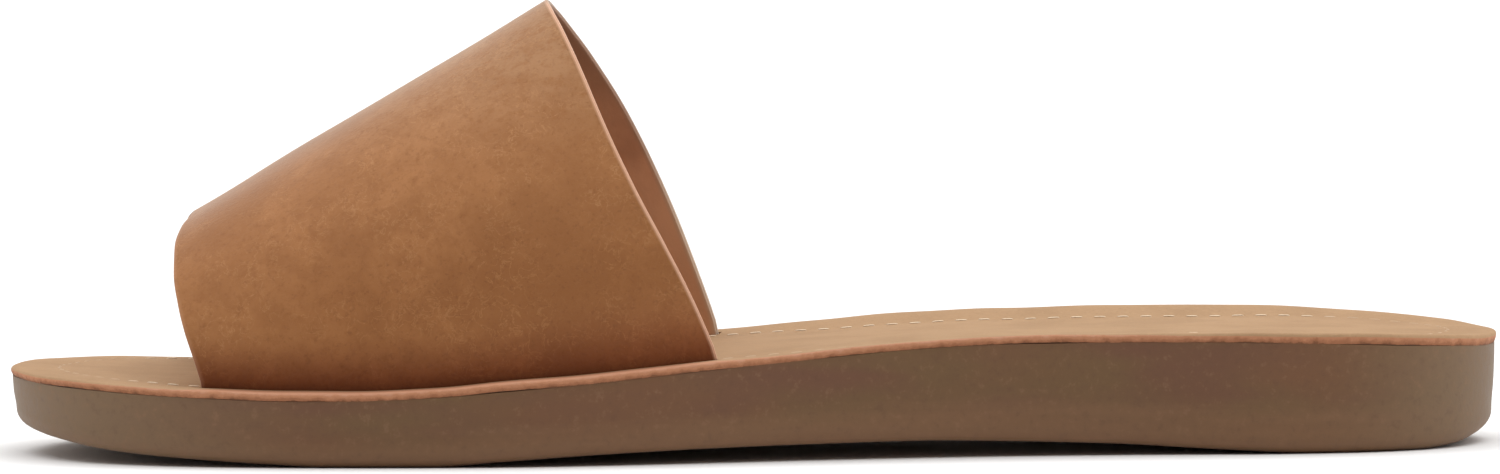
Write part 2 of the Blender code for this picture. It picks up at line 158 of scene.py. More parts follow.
# The footbed's rows between slot and rim: inset, the depth down the rim that they are painted for,
# and how much painted contact shadow from the strap's base darkens them.
SHOULDER_ROWS = columns(
    ("inset", "paint", "contact"),
    (
        (0.0032, -0.0005, 0.66),
        (0.0022, -0.00032, 0.46),
        (0.0015, 0.0, 0.34),
        (0.0010, 0.0, 0.20),
    ),
)

# Slight unevenness: turns per metre along X, Y and Z, start in turns and strength in metres.
BOARD_WAVES = (
    (31.0, 12.0, 0.0, 0.10, 0.00005),
    (-17.0, 40.0, 0.0, 0.35, 0.00005),
    (58.0, -23.0, 0.0, 0.6, 0.00003),
)
LEATHER_WAVES = (
    (14.0, 9.0, 20.0, 0.15, 0.00010),
    (-22.0, 12.0, 26.0, 0.40, 0.00008),
    (35.0, -18.0, 9.0, 0.70, 0.00005),
)


def hermite(at: Array, knots: Array, values: Array, tangent: Array) -> Array:
    """Cubic curve through a table's points with a given slope at each of them.

    In each cell t runs from 0 to 1, and the value is the usual sum of the two end values and the
    two end slopes, each weighted by its cubic in t.

    Args:
        at: places to read the curve at.
        knots: places of the table's points.
        values: values at those points.
        tangent: slopes at those points.

    Returns:
        The curve's values.
    """
    cell = np.clip(np.searchsorted(knots, at, side="right") - 1, 0, len(knots) - 2)
    width = knots[cell + 1] - knots[cell]
    t = (at - knots[cell]) / width
    start = (1.0 + 2.0 * t) * (1.0 - t) ** 2 * values[cell] + t * (1.0 - t) ** 2 * width * tangent[cell]
    end = t * t * (3.0 - 2.0 * t) * values[cell + 1] + t * t * (t - 1.0) * width * tangent[cell + 1]
    return start + end


def eased(at: Array, knots: Array, values: Array, level_start: bool = True) -> Array:
    """Monotone cubic curve through a table's points, level at its ends and flat beyond them.

    Each inner slope is the harmonic mean of the slopes on its two sides, or nought at a turn.

    Args:
        at: places to read the curve at.
        knots: places of the table's points.
        values: values at those points.
        level_start: start level, and not with the first cell's slope.

    Returns:
        The curve's values.
    """
    slope = np.diff(values) / np.diff(knots)
    before, after = slope[:-1], slope[1:]
    same_way = before * after > 0.0
    total = np.where(same_way, before + after, 1.0)
    inner = np.where(same_way, 2.0 * before * after / total, 0.0)
    tangent = np.concatenate(([0.0 if level_start else slope[0]], inner, [0.0]))
    return hermite(np.clip(at, knots[0], knots[-1]), knots, values, tangent)


def smooth_step(low: float, high: float, at: Array) -> Array:
    """Ease from 0 at low to 1 at high: three t squared less two t cubed."""
    t = np.clip((at - low) / (high - low), 0.0, 1.0)
    return t * t * (3.0 - 2.0 * t)


def stretch(rise: Range, fall: Range, at: Array) -> Array:
    """Ease from 0 to 1 over the first range and back to 0 over the second."""
    return smooth_step(*rise, at) * (1.0 - smooth_step(*fall, at))


def waves(points: Array, table: tuple[tuple[float, float, float, float, float], ...]) -> Array:
    """Sum of plane sine waves: strength times the sine of the turns along X, Y and Z plus a start.

    Args:
        points: places, with X, Y and Z last.
        table: one row a wave: turns per metre along X, Y and Z, start in turns, strength.

    Returns:
        The waves' sum at each place.
    """
    total = np.zeros(points.shape[:-1])
    for along_x, along_y, along_z, start, strength in table:
        turns = points @ np.array((along_x, along_y, along_z)) + start
        total += strength * np.sin(2.0 * np.pi * turns)
    return total


@dataclass(frozen=True)
class SandalForm:
    """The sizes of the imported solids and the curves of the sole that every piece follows."""

    sole_length: float = 0.255
    ball_width: float = 0.092
    heel_width: float = 0.061
    ball_thickness: float = 0.0113
    heel_thickness: float = 0.0196
    toe_lift: float = 0.0022
    toe_spring: float = 0.0048
    arch_rise: float = 0.0029
    medial_rim: float = 0.0010
    rim_width: float = 0.010
    cup_depth: float = 0.0008
    cup_width: float = 0.0085
    side_draft: float = 0.0006
    edge_radius: float = 0.0030
    footbed_thickness: float = 0.0012
    footbed_overhang: float = 0.0003
    strap_thickness: float = 0.0018
    strap_inset: float = 0.0045
    strap_front: float = 0.0338
    strap_rear: float = 0.1217
    bend_radius: float = 0.0025
    lasting_margin: float = 0.0095
    clearance: float = 0.0003
    path_samples: int = 2400
    turn_step: float = 0.002

    def turn_at(self, along: Array) -> Array:
        """Angle round the outline for a share of the length: 0 at the toe, pi at the heel."""
        return np.arccos(np.clip(1.0 - 2.0 * np.asarray(along, dtype=float), -1.0, 1.0))

    def along_at(self, x: Array) -> Array:
        """Share of the length from the toe tip at a place along X."""
        return np.clip(x / self.sole_length + 0.5, 0.0, 1.0)

    def breadth(self, turn: Array, side: Side) -> Array:
        """Distance from the middle line to the outline at an angle round it."""
        name = side.name.lower()
        out = OUTLINE[name + "_ball"] * self.ball_width + OUTLINE[name + "_heel"] * self.heel_width
        knots = self.turn_at(OUTLINE["along"])
        return hermite(turn, knots, out, np.gradient(out, knots))

    def outline(self, turn: Array, side: Side, inset: Array | float = 0.0) -> Array:
        """Points of the outline at angles round it, moved inward along its normal by inset.

        X is minus half the length times the cosine of the angle and Y the breadth; the normal is
        square to the difference of two neighbouring points.

        Args:
            turn: angles round the outline.
            side: side of the foot.
            inset: distance inward, one for all or one for each angle.

        Returns:
            Plan points, X and Y last.
        """
        def at(angle: Array) -> Array:
            """Points of the outline itself."""
            x = -0.5 * self.sole_length * np.cos(angle)
            return np.stack((x, side.value * self.breadth(angle, side)), axis=-1)

        low = np.clip(turn - self.turn_step, 0.0, np.pi)
        high = np.clip(turn + self.turn_step, 0.0, np.pi)
        tangent = at(high) - at(low)
        toe, heel = (turn <= 0.0)[..., None], (turn >= np.pi)[..., None]
        tangent = np.where(toe, (0.0, side.value), np.where(heel, (0.0, -side.value), tangent))
        tangent = tangent / np.linalg.norm(tangent, axis=-1, keepdims=True)
        inward = side.value * np.stack((tangent[..., 1], -tangent[..., 0]), axis=-1)
        return at(turn) + np.asarray(inset)[..., None] * inward

    def turns_for(self, x: Array, side: Side, inset: float) -> Array:
        """Angles at which the outline moved inward by inset passes given places along X."""
        samples = np.linspace(0.0, np.pi, self.path_samples)
        return np.interp(x, self.outline(samples, side, inset)[:, 0], samples)

    def inset_line(self, x: Array, side: Side, inset: float) -> Array:
        """Plan points at places along X on the outline moved inward by inset."""
        path = self.outline(np.linspace(0.0, np.pi, self.path_samples), side, inset)
        return np.stack((x, np.interp(x, path[:, 0], path[:, 1])), axis=-1)

    def slot_ends(self) -> Array:
        """Places along X of the two ends of the strap's seats and slots."""
        ends = np.array((self.strap_front - self.clearance, self.strap_rear + self.clearance))
        return ends - 0.5 * self.sole_length

    def seat_places(self, shares: Array) -> Array:
        """Places along X at shares of the way from the strap's front to its rear."""
        run = shares * (self.strap_rear - self.strap_front)
        return self.strap_front + run - 0.5 * self.sole_length

    def height_column(self, x: Array, name: str) -> Array:
        """One column of the heights table at places along X."""
        return eased(self.along_at(x), HEIGHTS["along"], HEIGHTS[name])

    def sole_top(self, x: Array, y: Array) -> Array:
        """Height of the sole unit's upper face, cupped inside its rim and raised at its medial rim."""
        rise = self.height_column(x, "rise") * (self.heel_thickness - self.ball_thickness)
        lift = self.height_column(x, "lift") * self.toe_lift
        turn = self.turn_at(self.along_at(x))
        from_medial = self.breadth(turn, Side.MEDIAL) - y
        from_lateral = self.breadth(turn, Side.LATERAL) + y
        near_rim = smooth_step(0.0, 1.0, 1.0 - from_medial / self.rim_width)
        rim = self.height_column(x, "rim") * self.medial_rim * near_rim
        inside = smooth_step(0.0, self.cup_width, np.minimum(from_medial, from_lateral))
        cup = self.height_column(x, "cup") * self.cup_depth * inside
        return self.ball_thickness + rise + lift + rim - cup

    def sole_under(self, x: Array) -> Array:
        """Height of the tread above the floor: toe spring, ball, arch and heel."""
        spring = self.height_column(x, "spring") * self.toe_spring
        return spring + self.height_column(x, "arch") * self.arch_rise

    def footbed_under(self, x: Array, y: Array) -> Array:
        """Height of the footbed's underside."""
        return self.sole_top(x, y) + self.clearance

    def footbed_top(self, x: Array, y: Array) -> Array:
        """Height of the footbed's upper face."""
        return self.footbed_under(x, y) + self.height_column(x, "footbed") * self.footbed_thickness

    def margin_under(self, x: Array, y: Array) -> Array:
        """Height of the strap's underside where it is lasted under the footbed."""
        return self.sole_top(x, y) - self.strap_thickness


def grid_faces(index: Array, close_rows: bool = False, close_places: bool = False) -> Array:
    """Quads between neighbouring rows and places of a grid of vertex numbers.

    Args:
        index: vertex numbers, rows by places.
        close_rows: the last row joins the first.
        close_places: the last place of a row joins its first.

    Returns:
        Four vertex numbers for each face, rows by places by four.
    """
    if close_rows:
        index = np.concatenate((index, index[:1]), axis=0)
    if close_places:
        index = np.concatenate((index, index[:, :1]), axis=1)
    return np.stack((index[:-1, :-1], index[1:, :-1], index[1:, 1:], index[:-1, 1:]), axis=-1)


def numbered(points: Array) -> Array:
    """Vertex numbers of a grid of points, rows by places."""
    return np.arange(points.shape[0] * points.shape[1]).reshape(points.shape[:2])


def crowded_places(reach: float, count: int, exact: Array, gap: float) -> Array:
    """Places along X from -reach to reach, crowded at both ends.

    Args:
        reach: the furthest place.
        count: how many places there are before the exact ones come in.
        exact: places that are kept as they are.
        gap: places nearer than this to an exact one go.

    Returns:
        The places in order.
    """
    even = -reach * np.cos(np.linspace(0.0, np.pi, count))
    near = np.abs(even[:, None] - exact[None, :]).min(axis=1) < gap
    return np.sort(np.concatenate((even[~near], exact)))


def between(start: Array, end: Array, strips: int, face: Callable[[Array], Array]) -> list[Array]:
    """Rows that divide the way from one row to another into strips and lie on a face.

    Args:
        start: the row before the first.
        end: the row after the last.
        strips: how many strips the way is divided into.
        face: height of the face at plan points.

    Returns:
        The rows between the two.
    """
    shares = np.arange(1, strips) / strips
    plans = [(start + share * (end - start))[:, :2] for share in shares]
    return [np.column_stack((plan, face(plan))) for plan in plans]


def grid_normals(points: Array) -> Array:
    """Unit normals of a grid of points, from the cross product of its two differences."""
    across = np.gradient(points, axis=0)
    along = np.gradient(points, axis=1)
    normal = np.cross(across, along)
    return normal / np.maximum(np.linalg.norm(normal, axis=-1, keepdims=True), 1e-12)


def make_piece(
    name: str, points: Array, faces: list[list[int]], marks: dict[str, Array],
    sharp_degrees: float, merge: float = 2e-6,
) -> bpy.types.Object:
    """Make a closed, outward-facing mesh object out of arrays.

    Args:
        name: the piece's name.
        points: vertex places, with X, Y and Z last.
        faces: vertex numbers of each face.
        marks: named values for each vertex, read by the materials.
        sharp_degrees: edges that turn more than this stay sharp.
        merge: vertices closer than this become one.

    Returns:
        The new object, at the origin.
    """
    mesh = bpy.data.meshes.new(name)
    mesh.from_pydata(points.reshape(-1, 3).tolist(), [], faces)
    for label, values in marks.items():
        layer = mesh.attributes.new(label, "FLOAT", "POINT")
        layer.data.foreach_set("value", np.asarray(values, dtype=np.float32).ravel())
    work = bmesh.new()
    work.from_mesh(mesh)
    bmesh.ops.remove_doubles(work, verts=work.verts, dist=merge)
    bmesh.ops.recalc_face_normals(work, faces=work.faces)
    work.to_mesh(mesh)
    work.free()
    mesh.shade_smooth()
    mesh.set_sharp_from_angle(angle=math.radians(sharp_degrees))
    piece = bpy.data.objects.new(name, mesh)
    bpy.context.scene.collection.objects.link(piece)
    return piece


def dress(
    piece: bpy.types.Object, material: bpy.types.Material, node: str | None = None,
) -> None:
    """Give a piece its material and tell the frame what it is.

    Args:
        piece: the new object.
        material: its finish.
        node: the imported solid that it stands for, if any.
    """
    piece.data.materials.append(material)
    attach(piece, "root")
    if node is not None:
        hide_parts(node)
    log.info("%s: %d faces", piece.name, len(piece.data.polygons))


class Nodes:
    """A node tree, filled one call at a time."""

    def __init__(self, tree: bpy.types.NodeTree) -> None:
        """Keep the tree that is filled."""
        self.tree = tree

    def feed(self, socket: Socket, value: object) -> None:
        """Link a socket to an output, or set it to a number or colour."""
        if isinstance(value, Socket):
            self.tree.links.new(value, socket)
        elif isinstance(value, tuple) and len(value) == 3 and len(socket.default_value) == 4:
            socket.default_value = (*value, 1.0)
        else:
            socket.default_value = value

    def add(
        self, kind: str, inputs: dict[str | int, object], output: str | int, **settings: object,
    ) -> Socket:
        """Add a shader node.

        Args:
            kind: the node's type, without ShaderNode before it.
            inputs: what each named or numbered input is fed.
            output: the output to hand over.
            settings: the node's own properties.

        Returns:
            The output.
        """
        node = self.tree.nodes.new("ShaderNode" + kind)
        for name, value in settings.items():
            setattr(node, name, value)
        for socket, value in inputs.items():
            self.feed(node.inputs[socket], value)
        return node.outputs[output]

    def span(
        self, value: Socket, low: float, high: float, out_low: float | Socket = 0.0,
        out_high: float | Socket = 1.0,
    ) -> Socket:
        """Carry a value's range onto another, softly and without going past it."""
        inputs = {"Value": value, "From Min": low, "From Max": high, "To Min": out_low, "To Max": out_high}
        return self.add("MapRange", inputs, "Result", interpolation_type="SMOOTHSTEP")


class Recipe(Nodes):
    """A material's nodes round its Principled shader."""

    def __init__(self, name: str) -> None:
        """Start a material with its Principled shader."""
        self.material = bpy.data.materials.new(name)
        self.material.use_nodes = True
        super().__init__(self.material.node_tree)
        self.shader = self.tree.nodes["Principled BSDF"]
        self.place = self.add("TexCoord", {}, "Object")

    def stretched(self, scale: Triple) -> Socket:
        """Object coordinates stretched by a scale along each axis."""
        return self.add("Mapping", {"Vector": self.place, "Scale": scale}, "Vector")

    def noise(
        self, scale: float, detail: float = 2.0, rough: float = 0.5,
        place: Socket | None = None, twist: float = 0.0,
    ) -> Socket:
        """Smooth noise with scale cells a metre, bent by its own twist."""
        inputs = {"Vector": place or self.place, "Scale": scale, "Detail": detail}
        return self.add("TexNoise", {**inputs, "Roughness": rough, "Distortion": twist}, "Fac")

    def cells(self, scale: float) -> Socket:
        """Distance to the nearest of scale random points a metre."""
        return self.add("TexVoronoi", {"Vector": self.place, "Scale": scale}, "Distance")

    def mark(self, name: str) -> Socket:
        """A value that the mesh holds at each vertex."""
        return self.add("Attribute", {}, "Fac", attribute_name=name)

    def sum(self, *terms: tuple[Socket, float]) -> Socket:
        """Weighted sum of values."""
        total: Socket | float = 0.0
        for value, weight in terms:
            total = self.add("Math", {0: value, 1: weight, 2: total}, 0, operation="MULTIPLY_ADD")
        return total

    def times(self, one: Socket, other: Socket) -> Socket:
        """Product of two values."""
        return self.add("Math", {0: one, 1: other}, 0, operation="MULTIPLY")

    def mix(
        self, share: Socket | float, under: object, over: object, blend: Blend = Blend.PLAIN,
    ) -> Socket:
        """Lay one colour over another by a share."""
        inputs = {"Factor": share, 6: under, 7: over}
        return self.add("Mix", inputs, 2, data_type="RGBA", blend_type=blend.value)

    def bump(self, height: Socket, depth: float, strength: float) -> None:
        """Raise the surface by a height times a depth in metres."""
        inputs = {"Distance": depth, "Strength": strength, "Height": height}
        self.feed(self.shader.inputs["Normal"], self.add("Bump", inputs, "Normal"))

    def finish(
        self, colour: object, roughness: Socket | float, specular: float,
        sheen: float = 0.0, sheen_roughness: float = 0.5, sheen_tint: Colour = WHITE,
    ) -> bpy.types.Material:
        """Set the shader's sockets and hand over the material."""
        for label, value in (
            ("Base Color", colour), ("Roughness", roughness), ("Specular IOR Level", specular),
            ("Sheen Weight", sheen), ("Sheen Roughness", sheen_roughness), ("Sheen Tint", sheen_tint),
        ):
            self.feed(self.shader.inputs[label], value)
        return self.material


@dataclass(frozen=True)
class CutEdge:
    """Raw cut edge of the strap's leather: pale pink by the camera, darker on the far side."""

    near: Colour = (0.84, 0.50, 0.34)
    far: Colour = (0.300, 0.160, 0.095)
    # painted rim light on the lower part of the far cut edge
    far_low_rim_light: Colour = (0.520, 0.370, 0.260)

    def lay(self, recipe: Recipe, tone: Socket) -> Socket:
        """Lay the cut edge over a leather's tone."""
        # on the far side the edge's lower part is lighter: painted rim light
        far = recipe.mix(recipe.mark("low"), self.far, self.far_low_rim_light)
        edge = recipe.mix(recipe.mark("far"), self.near, far)
        return recipe.mix(recipe.mark("cut_edge"), tone, edge)


@dataclass(frozen=True)
class NubuckFinish:
    """Brushed tan leather: cloudy tone, short nap, fine pits and a dark base of burnish and painted shade.
    """

    light: Colour = (0.430, 0.188, 0.070)
    deep: Colour = (0.335, 0.138, 0.047)
    hair: Colour = (0.560, 0.285, 0.125)
    pit: Colour = (0.210, 0.078, 0.026)
    # burnish and painted shade at the strap's base
    burnish: Colour = (0.52, 0.33, 0.22)
    # painted shade lower down the strap
    shade: Colour = (0.80, 0.74, 0.66)
    # painted sheen: a lighter, greyer tone towards the crest
    crest: Colour = (0.420, 0.225, 0.110)
    sheen_tint: Colour = (0.96, 0.92, 0.86)
    cloud_scale: float = 48.0
    patch_scale: float = 110.0
    puff_scale: float = 190.0
    hair_scale: float = 420.0
    mottle_scale: float = 430.0
    pit_scale: float = 1200.0
    nap_scale: float = 1500.0
    nap_depth: float = 0.00009

    def material(self) -> bpy.types.Material:
        """Build the nubuck with its nodes."""
        recipe = Recipe("strap_nubuck")
        cloud = recipe.span(recipe.noise(self.cloud_scale, 4.0, 0.60), 0.32, 0.70)
        mottle = recipe.noise(self.mottle_scale, 4.0, 0.70, twist=0.2)
        nap = recipe.noise(self.nap_scale, 3.0, 0.7)
        tone = recipe.mix(cloud, self.light, self.deep)
        # painted sheen: a lighter, greyer tone towards the crest
        tone = recipe.mix(recipe.span(recipe.mark("crest"), 0.0, 1.0, 0.0, 0.75), tone, self.crest)
        puffs = recipe.span(recipe.noise(self.puff_scale, 3.0, 0.6), 0.42, 0.68, 0.0, 0.45)
        tone = recipe.mix(puffs, tone, self.deep)
        tone = recipe.mix(recipe.span(mottle, 0.45, 0.70, 0.0, 0.75), tone, self.deep)
        fibre = recipe.noise(self.hair_scale, 4.0, 0.6, twist=0.7)
        hairs = recipe.times(recipe.span(fibre, 0.480, 0.502), recipe.span(fibre, 0.502, 0.526, 1.0, 0.0))
        patches = recipe.span(recipe.noise(self.patch_scale, 2.0), 0.40, 0.62, 0.08, 0.44)
        tone = recipe.mix(recipe.times(hairs, patches), tone, self.hair)
        pits = recipe.span(recipe.noise(self.pit_scale, 3.0, 0.7), 0.52, 0.72, 0.0, 0.34)
        tone = recipe.mix(pits, tone, self.pit)
        # painted shade lower down the strap
        tone = recipe.mix(recipe.mark("shade"), tone, self.shade, Blend.SHADE)
        # burnish and painted shade at the strap's base
        tone = recipe.mix(recipe.mark("burnish"), tone, self.burnish, Blend.SHADE)
        tone = CutEdge().lay(recipe, tone)
        recipe.bump(recipe.sum((nap, 1.0), (mottle, 0.8)), self.nap_depth, strength=0.7)
        rough = recipe.span(nap, 0.3, 0.7, 0.78, 0.92)
        return recipe.finish(
            tone, rough, specular=0.3, sheen=0.53, sheen_roughness=0.35, sheen_tint=self.sheen_tint,
        )


@dataclass(frozen=True)
class LiningFinish:
    """Reddish brown lining with a faint drag of the knife and soft blotches."""

    base: Colour = (0.640, 0.315, 0.172)
    deep: Colour = (0.480, 0.222, 0.118)
    pale: Colour = (0.720, 0.400, 0.230)
    # painted shade towards the crest
    shaded: Colour = (0.215, 0.098, 0.050)
    blotch_scale: float = 90.0
    drag_scale: float = 260.0
    drag_stretch: Triple = (1.0, 1.0, 0.16)
    grain_scale: float = 1300.0
    grain_depth: float = 0.00008

    def material(self) -> bpy.types.Material:
        """Build the lining with its nodes."""
        recipe = Recipe("strap_lining_leather")
        blotch = recipe.span(recipe.noise(self.blotch_scale, 3.0, 0.6), 0.35, 0.70)
        drag = recipe.noise(self.drag_scale, 3.0, 0.6, recipe.stretched(self.drag_stretch))
        tone = recipe.mix(blotch, self.base, self.deep)
        tone = recipe.mix(recipe.span(drag, 0.4, 0.7, 0.0, 0.4), tone, self.deep)
        tone = recipe.mix(recipe.span(recipe.mark("low"), 0.0, 1.0, 0.0, 0.7), tone, self.pale)
        # painted shade towards the crest
        tone = recipe.mix(recipe.mark("crest"), tone, self.shaded)
        tone = CutEdge().lay(recipe, tone)
        grain = recipe.noise(self.grain_scale, 3.0, 0.6)
        recipe.bump(recipe.sum((grain, 1.0), (drag, 0.8)), self.grain_depth, strength=0.6)
        return recipe.finish(tone, roughness=0.72, specular=0.35, sheen=0.1)


@dataclass(frozen=True)
class FootbedFinish:
    """Matt tan footbed leather whose rounded rim is painted a warm orange."""

    top: Colour = (0.455, 0.280, 0.152)
    worn: Colour = (0.405, 0.245, 0.130)
    bloom: Colour = (0.540, 0.350, 0.205)
    pore: Colour = (0.250, 0.135, 0.070)
    rim: Colour = (0.490, 0.220, 0.115)
    # painted highlight along the top of the rim's paint
    rim_top_highlight: Colour = (0.548, 0.274, 0.166)
    # painted shade low on the rim's paint
    rim_low_shade: Colour = (0.340, 0.140, 0.068)
    seam: Colour = (0.200, 0.084, 0.041)
    # painted contact shadow of the strap's base on the footbed
    contact: Colour = (0.40, 0.26, 0.18)
    cloud_scale: float = 70.0
    fleck_scale: float = 300.0
    lump_scale: float = 560.0
    grain_scale: float = 850.0
    pore_scale: float = 1100.0
    grain_depth: float = 0.00010

    def material(self) -> bpy.types.Material:
        """Build the footbed's leather with its painted rim."""
        recipe = Recipe("footbed_leather")
        cloud = recipe.span(recipe.noise(self.cloud_scale, 3.0, 0.6), 0.35, 0.68)
        grain = recipe.noise(self.grain_scale, 3.0, 0.65)
        pores = recipe.cells(self.pore_scale)
        tone = recipe.mix(cloud, self.top, self.worn)
        tone = recipe.mix(recipe.span(grain, 0.45, 0.75, 0.0, 0.35), tone, self.bloom)
        tone = recipe.mix(recipe.span(pores, 0.08, 0.24, 0.25, 0.0), tone, self.pore)
        lumps = recipe.noise(self.lump_scale, 4.0, 0.7)
        fleck = recipe.noise(self.fleck_scale, 2.0)
        depth = recipe.sum((recipe.mark("rim_depth"), 1.0), (lumps, 1.1), (fleck, -0.4))
        # the rim's paint, with a painted highlight at its top and painted shade lower down
        paint = recipe.mix(recipe.span(depth, 0.45, 0.78), self.rim_top_highlight, self.rim)
        paint = recipe.mix(recipe.span(depth, 0.80, 1.18), paint, self.rim_low_shade)
        paint = recipe.mix(recipe.span(depth, 1.20, 1.38), paint, self.seam)
        share = recipe.span(recipe.sum((recipe.mark("rim"), 1.0), (lumps, 0.5)), 0.45, 0.85)
        tone = recipe.mix(share, tone, paint)
        # painted contact shadow beside the strap's base
        tone = recipe.mix(recipe.mark("contact"), tone, self.contact, Blend.SHADE)
        rim_lumps = recipe.times(recipe.mark("rim"), lumps)
        relief = recipe.sum((grain, 1.0), (pores, -0.6), (rim_lumps, 1.6))
        recipe.bump(relief, self.grain_depth, strength=0.7)
        return recipe.finish(tone, recipe.span(grain, 0.3, 0.7, 0.68, 0.82), specular=0.2)


@dataclass(frozen=True)
class RubberFinish:
    """Matt brown moulded rubber, faintly mottled, with long soft streaks and painted bounce light low down.
    """

    base: Colour = (0.172, 0.078, 0.035)
    olive: Colour = (0.160, 0.086, 0.036)
    warm: Colour = (0.156, 0.070, 0.036)
    # painted bounce light from the floor on the side's lower part
    low: Colour = (0.214, 0.110, 0.052)
    # painted sheen at the toe and heel ends
    tip: Colour = (0.198, 0.124, 0.066)
    # pale scuffs, and painted bounce light on the rounded lower edge
    scuff_and_bounce_light: Colour = (0.260, 0.142, 0.078)
    speck: Colour = (0.110, 0.048, 0.022)
    patch_scale: float = 38.0
    patch_stretch: Triple = (0.6, 1.0, 1.6)
    warm_scale: float = 52.0
    warm_stretch: Triple = (0.45, 1.0, 2.2)
    streak_scale: float = 120.0
    streak_stretch: Triple = (0.14, 0.14, 2.4)
    fine_scale: float = 620.0
    fine_depth: float = 0.00010

    def material(self) -> bpy.types.Material:
        """Build the rubber with its nodes."""
        recipe = Recipe("sole_rubber")
        patch = recipe.noise(self.patch_scale, 2.0, 0.5, recipe.stretched(self.patch_stretch))
        warm = recipe.noise(self.warm_scale, 2.0, 0.5, recipe.stretched(self.warm_stretch))
        streak = recipe.noise(self.streak_scale, 3.0, 0.6, recipe.stretched(self.streak_stretch))
        fine = recipe.noise(self.fine_scale, 4.0, 0.7)
        tone = recipe.mix(recipe.span(patch, 0.36, 0.64), self.base, self.olive)
        tone = recipe.mix(recipe.span(warm, 0.45, 0.70), tone, self.warm)
        tone = recipe.mix(recipe.span(streak, 0.45, 0.75, 0.0, 0.35), tone, self.warm)
        # lighter towards the bottom of the side: painted bounce light from the floor
        wander = recipe.sum((recipe.mark("side"), 1.0), (streak, 0.5))
        tone = recipe.mix(recipe.span(wander, 0.68, 1.10, 0.0, 0.9), tone, self.low)
        # painted sheen at the toe and heel ends
        tone = recipe.mix(recipe.mark("tip"), tone, self.tip)
        tone = recipe.mix(recipe.span(fine, 0.52, 0.74, 0.0, 0.45), tone, self.scuff_and_bounce_light)
        tone = recipe.mix(recipe.span(fine, 0.28, 0.50, 0.30, 0.0), tone, self.speck)
        # painted bounce light from the floor on the rounded lower edge
        edge_bounce_light = recipe.times(recipe.mark("worn"), recipe.span(streak, 0.2, 0.7, 0.3, 0.9))
        tone = recipe.mix(edge_bounce_light, tone, self.scuff_and_bounce_light)
        recipe.bump(recipe.sum((fine, 1.0), (streak, 0.6)), self.fine_depth, strength=0.5)
        rough = recipe.span(fine, 0.3, 0.7, 0.52, 0.66)
        return recipe.finish(tone, rough, specular=0.33, sheen=0.08, sheen_roughness=0.4)


@dataclass(frozen=True)
class ThreadFinish:
    """Waxed cream thread, twisted."""

    base: Colour = (0.90, 0.74, 0.54)
    deep: Colour = (0.76, 0.58, 0.40)
    faded: Colour = (0.485, 0.305, 0.172)
    twist_scale: float = 1600.0
    twist_depth: float = 0.00005

    def material(self) -> bpy.types.Material:
        """Build the thread with the shade of its twist."""
        recipe = Recipe("stitch_thread")
        twist = recipe.noise(self.twist_scale, 1.0)
        tone = recipe.mix(recipe.span(twist, 0.4, 0.65, 0.0, 0.6), self.base, self.deep)
        tone = recipe.mix(recipe.span(recipe.mark("fade"), 0.0, 1.0, 0.0, 0.92), tone, self.faded)
        recipe.bump(twist, self.twist_depth, strength=0.6)
        return recipe.finish(tone, roughness=0.55, specular=0.4)


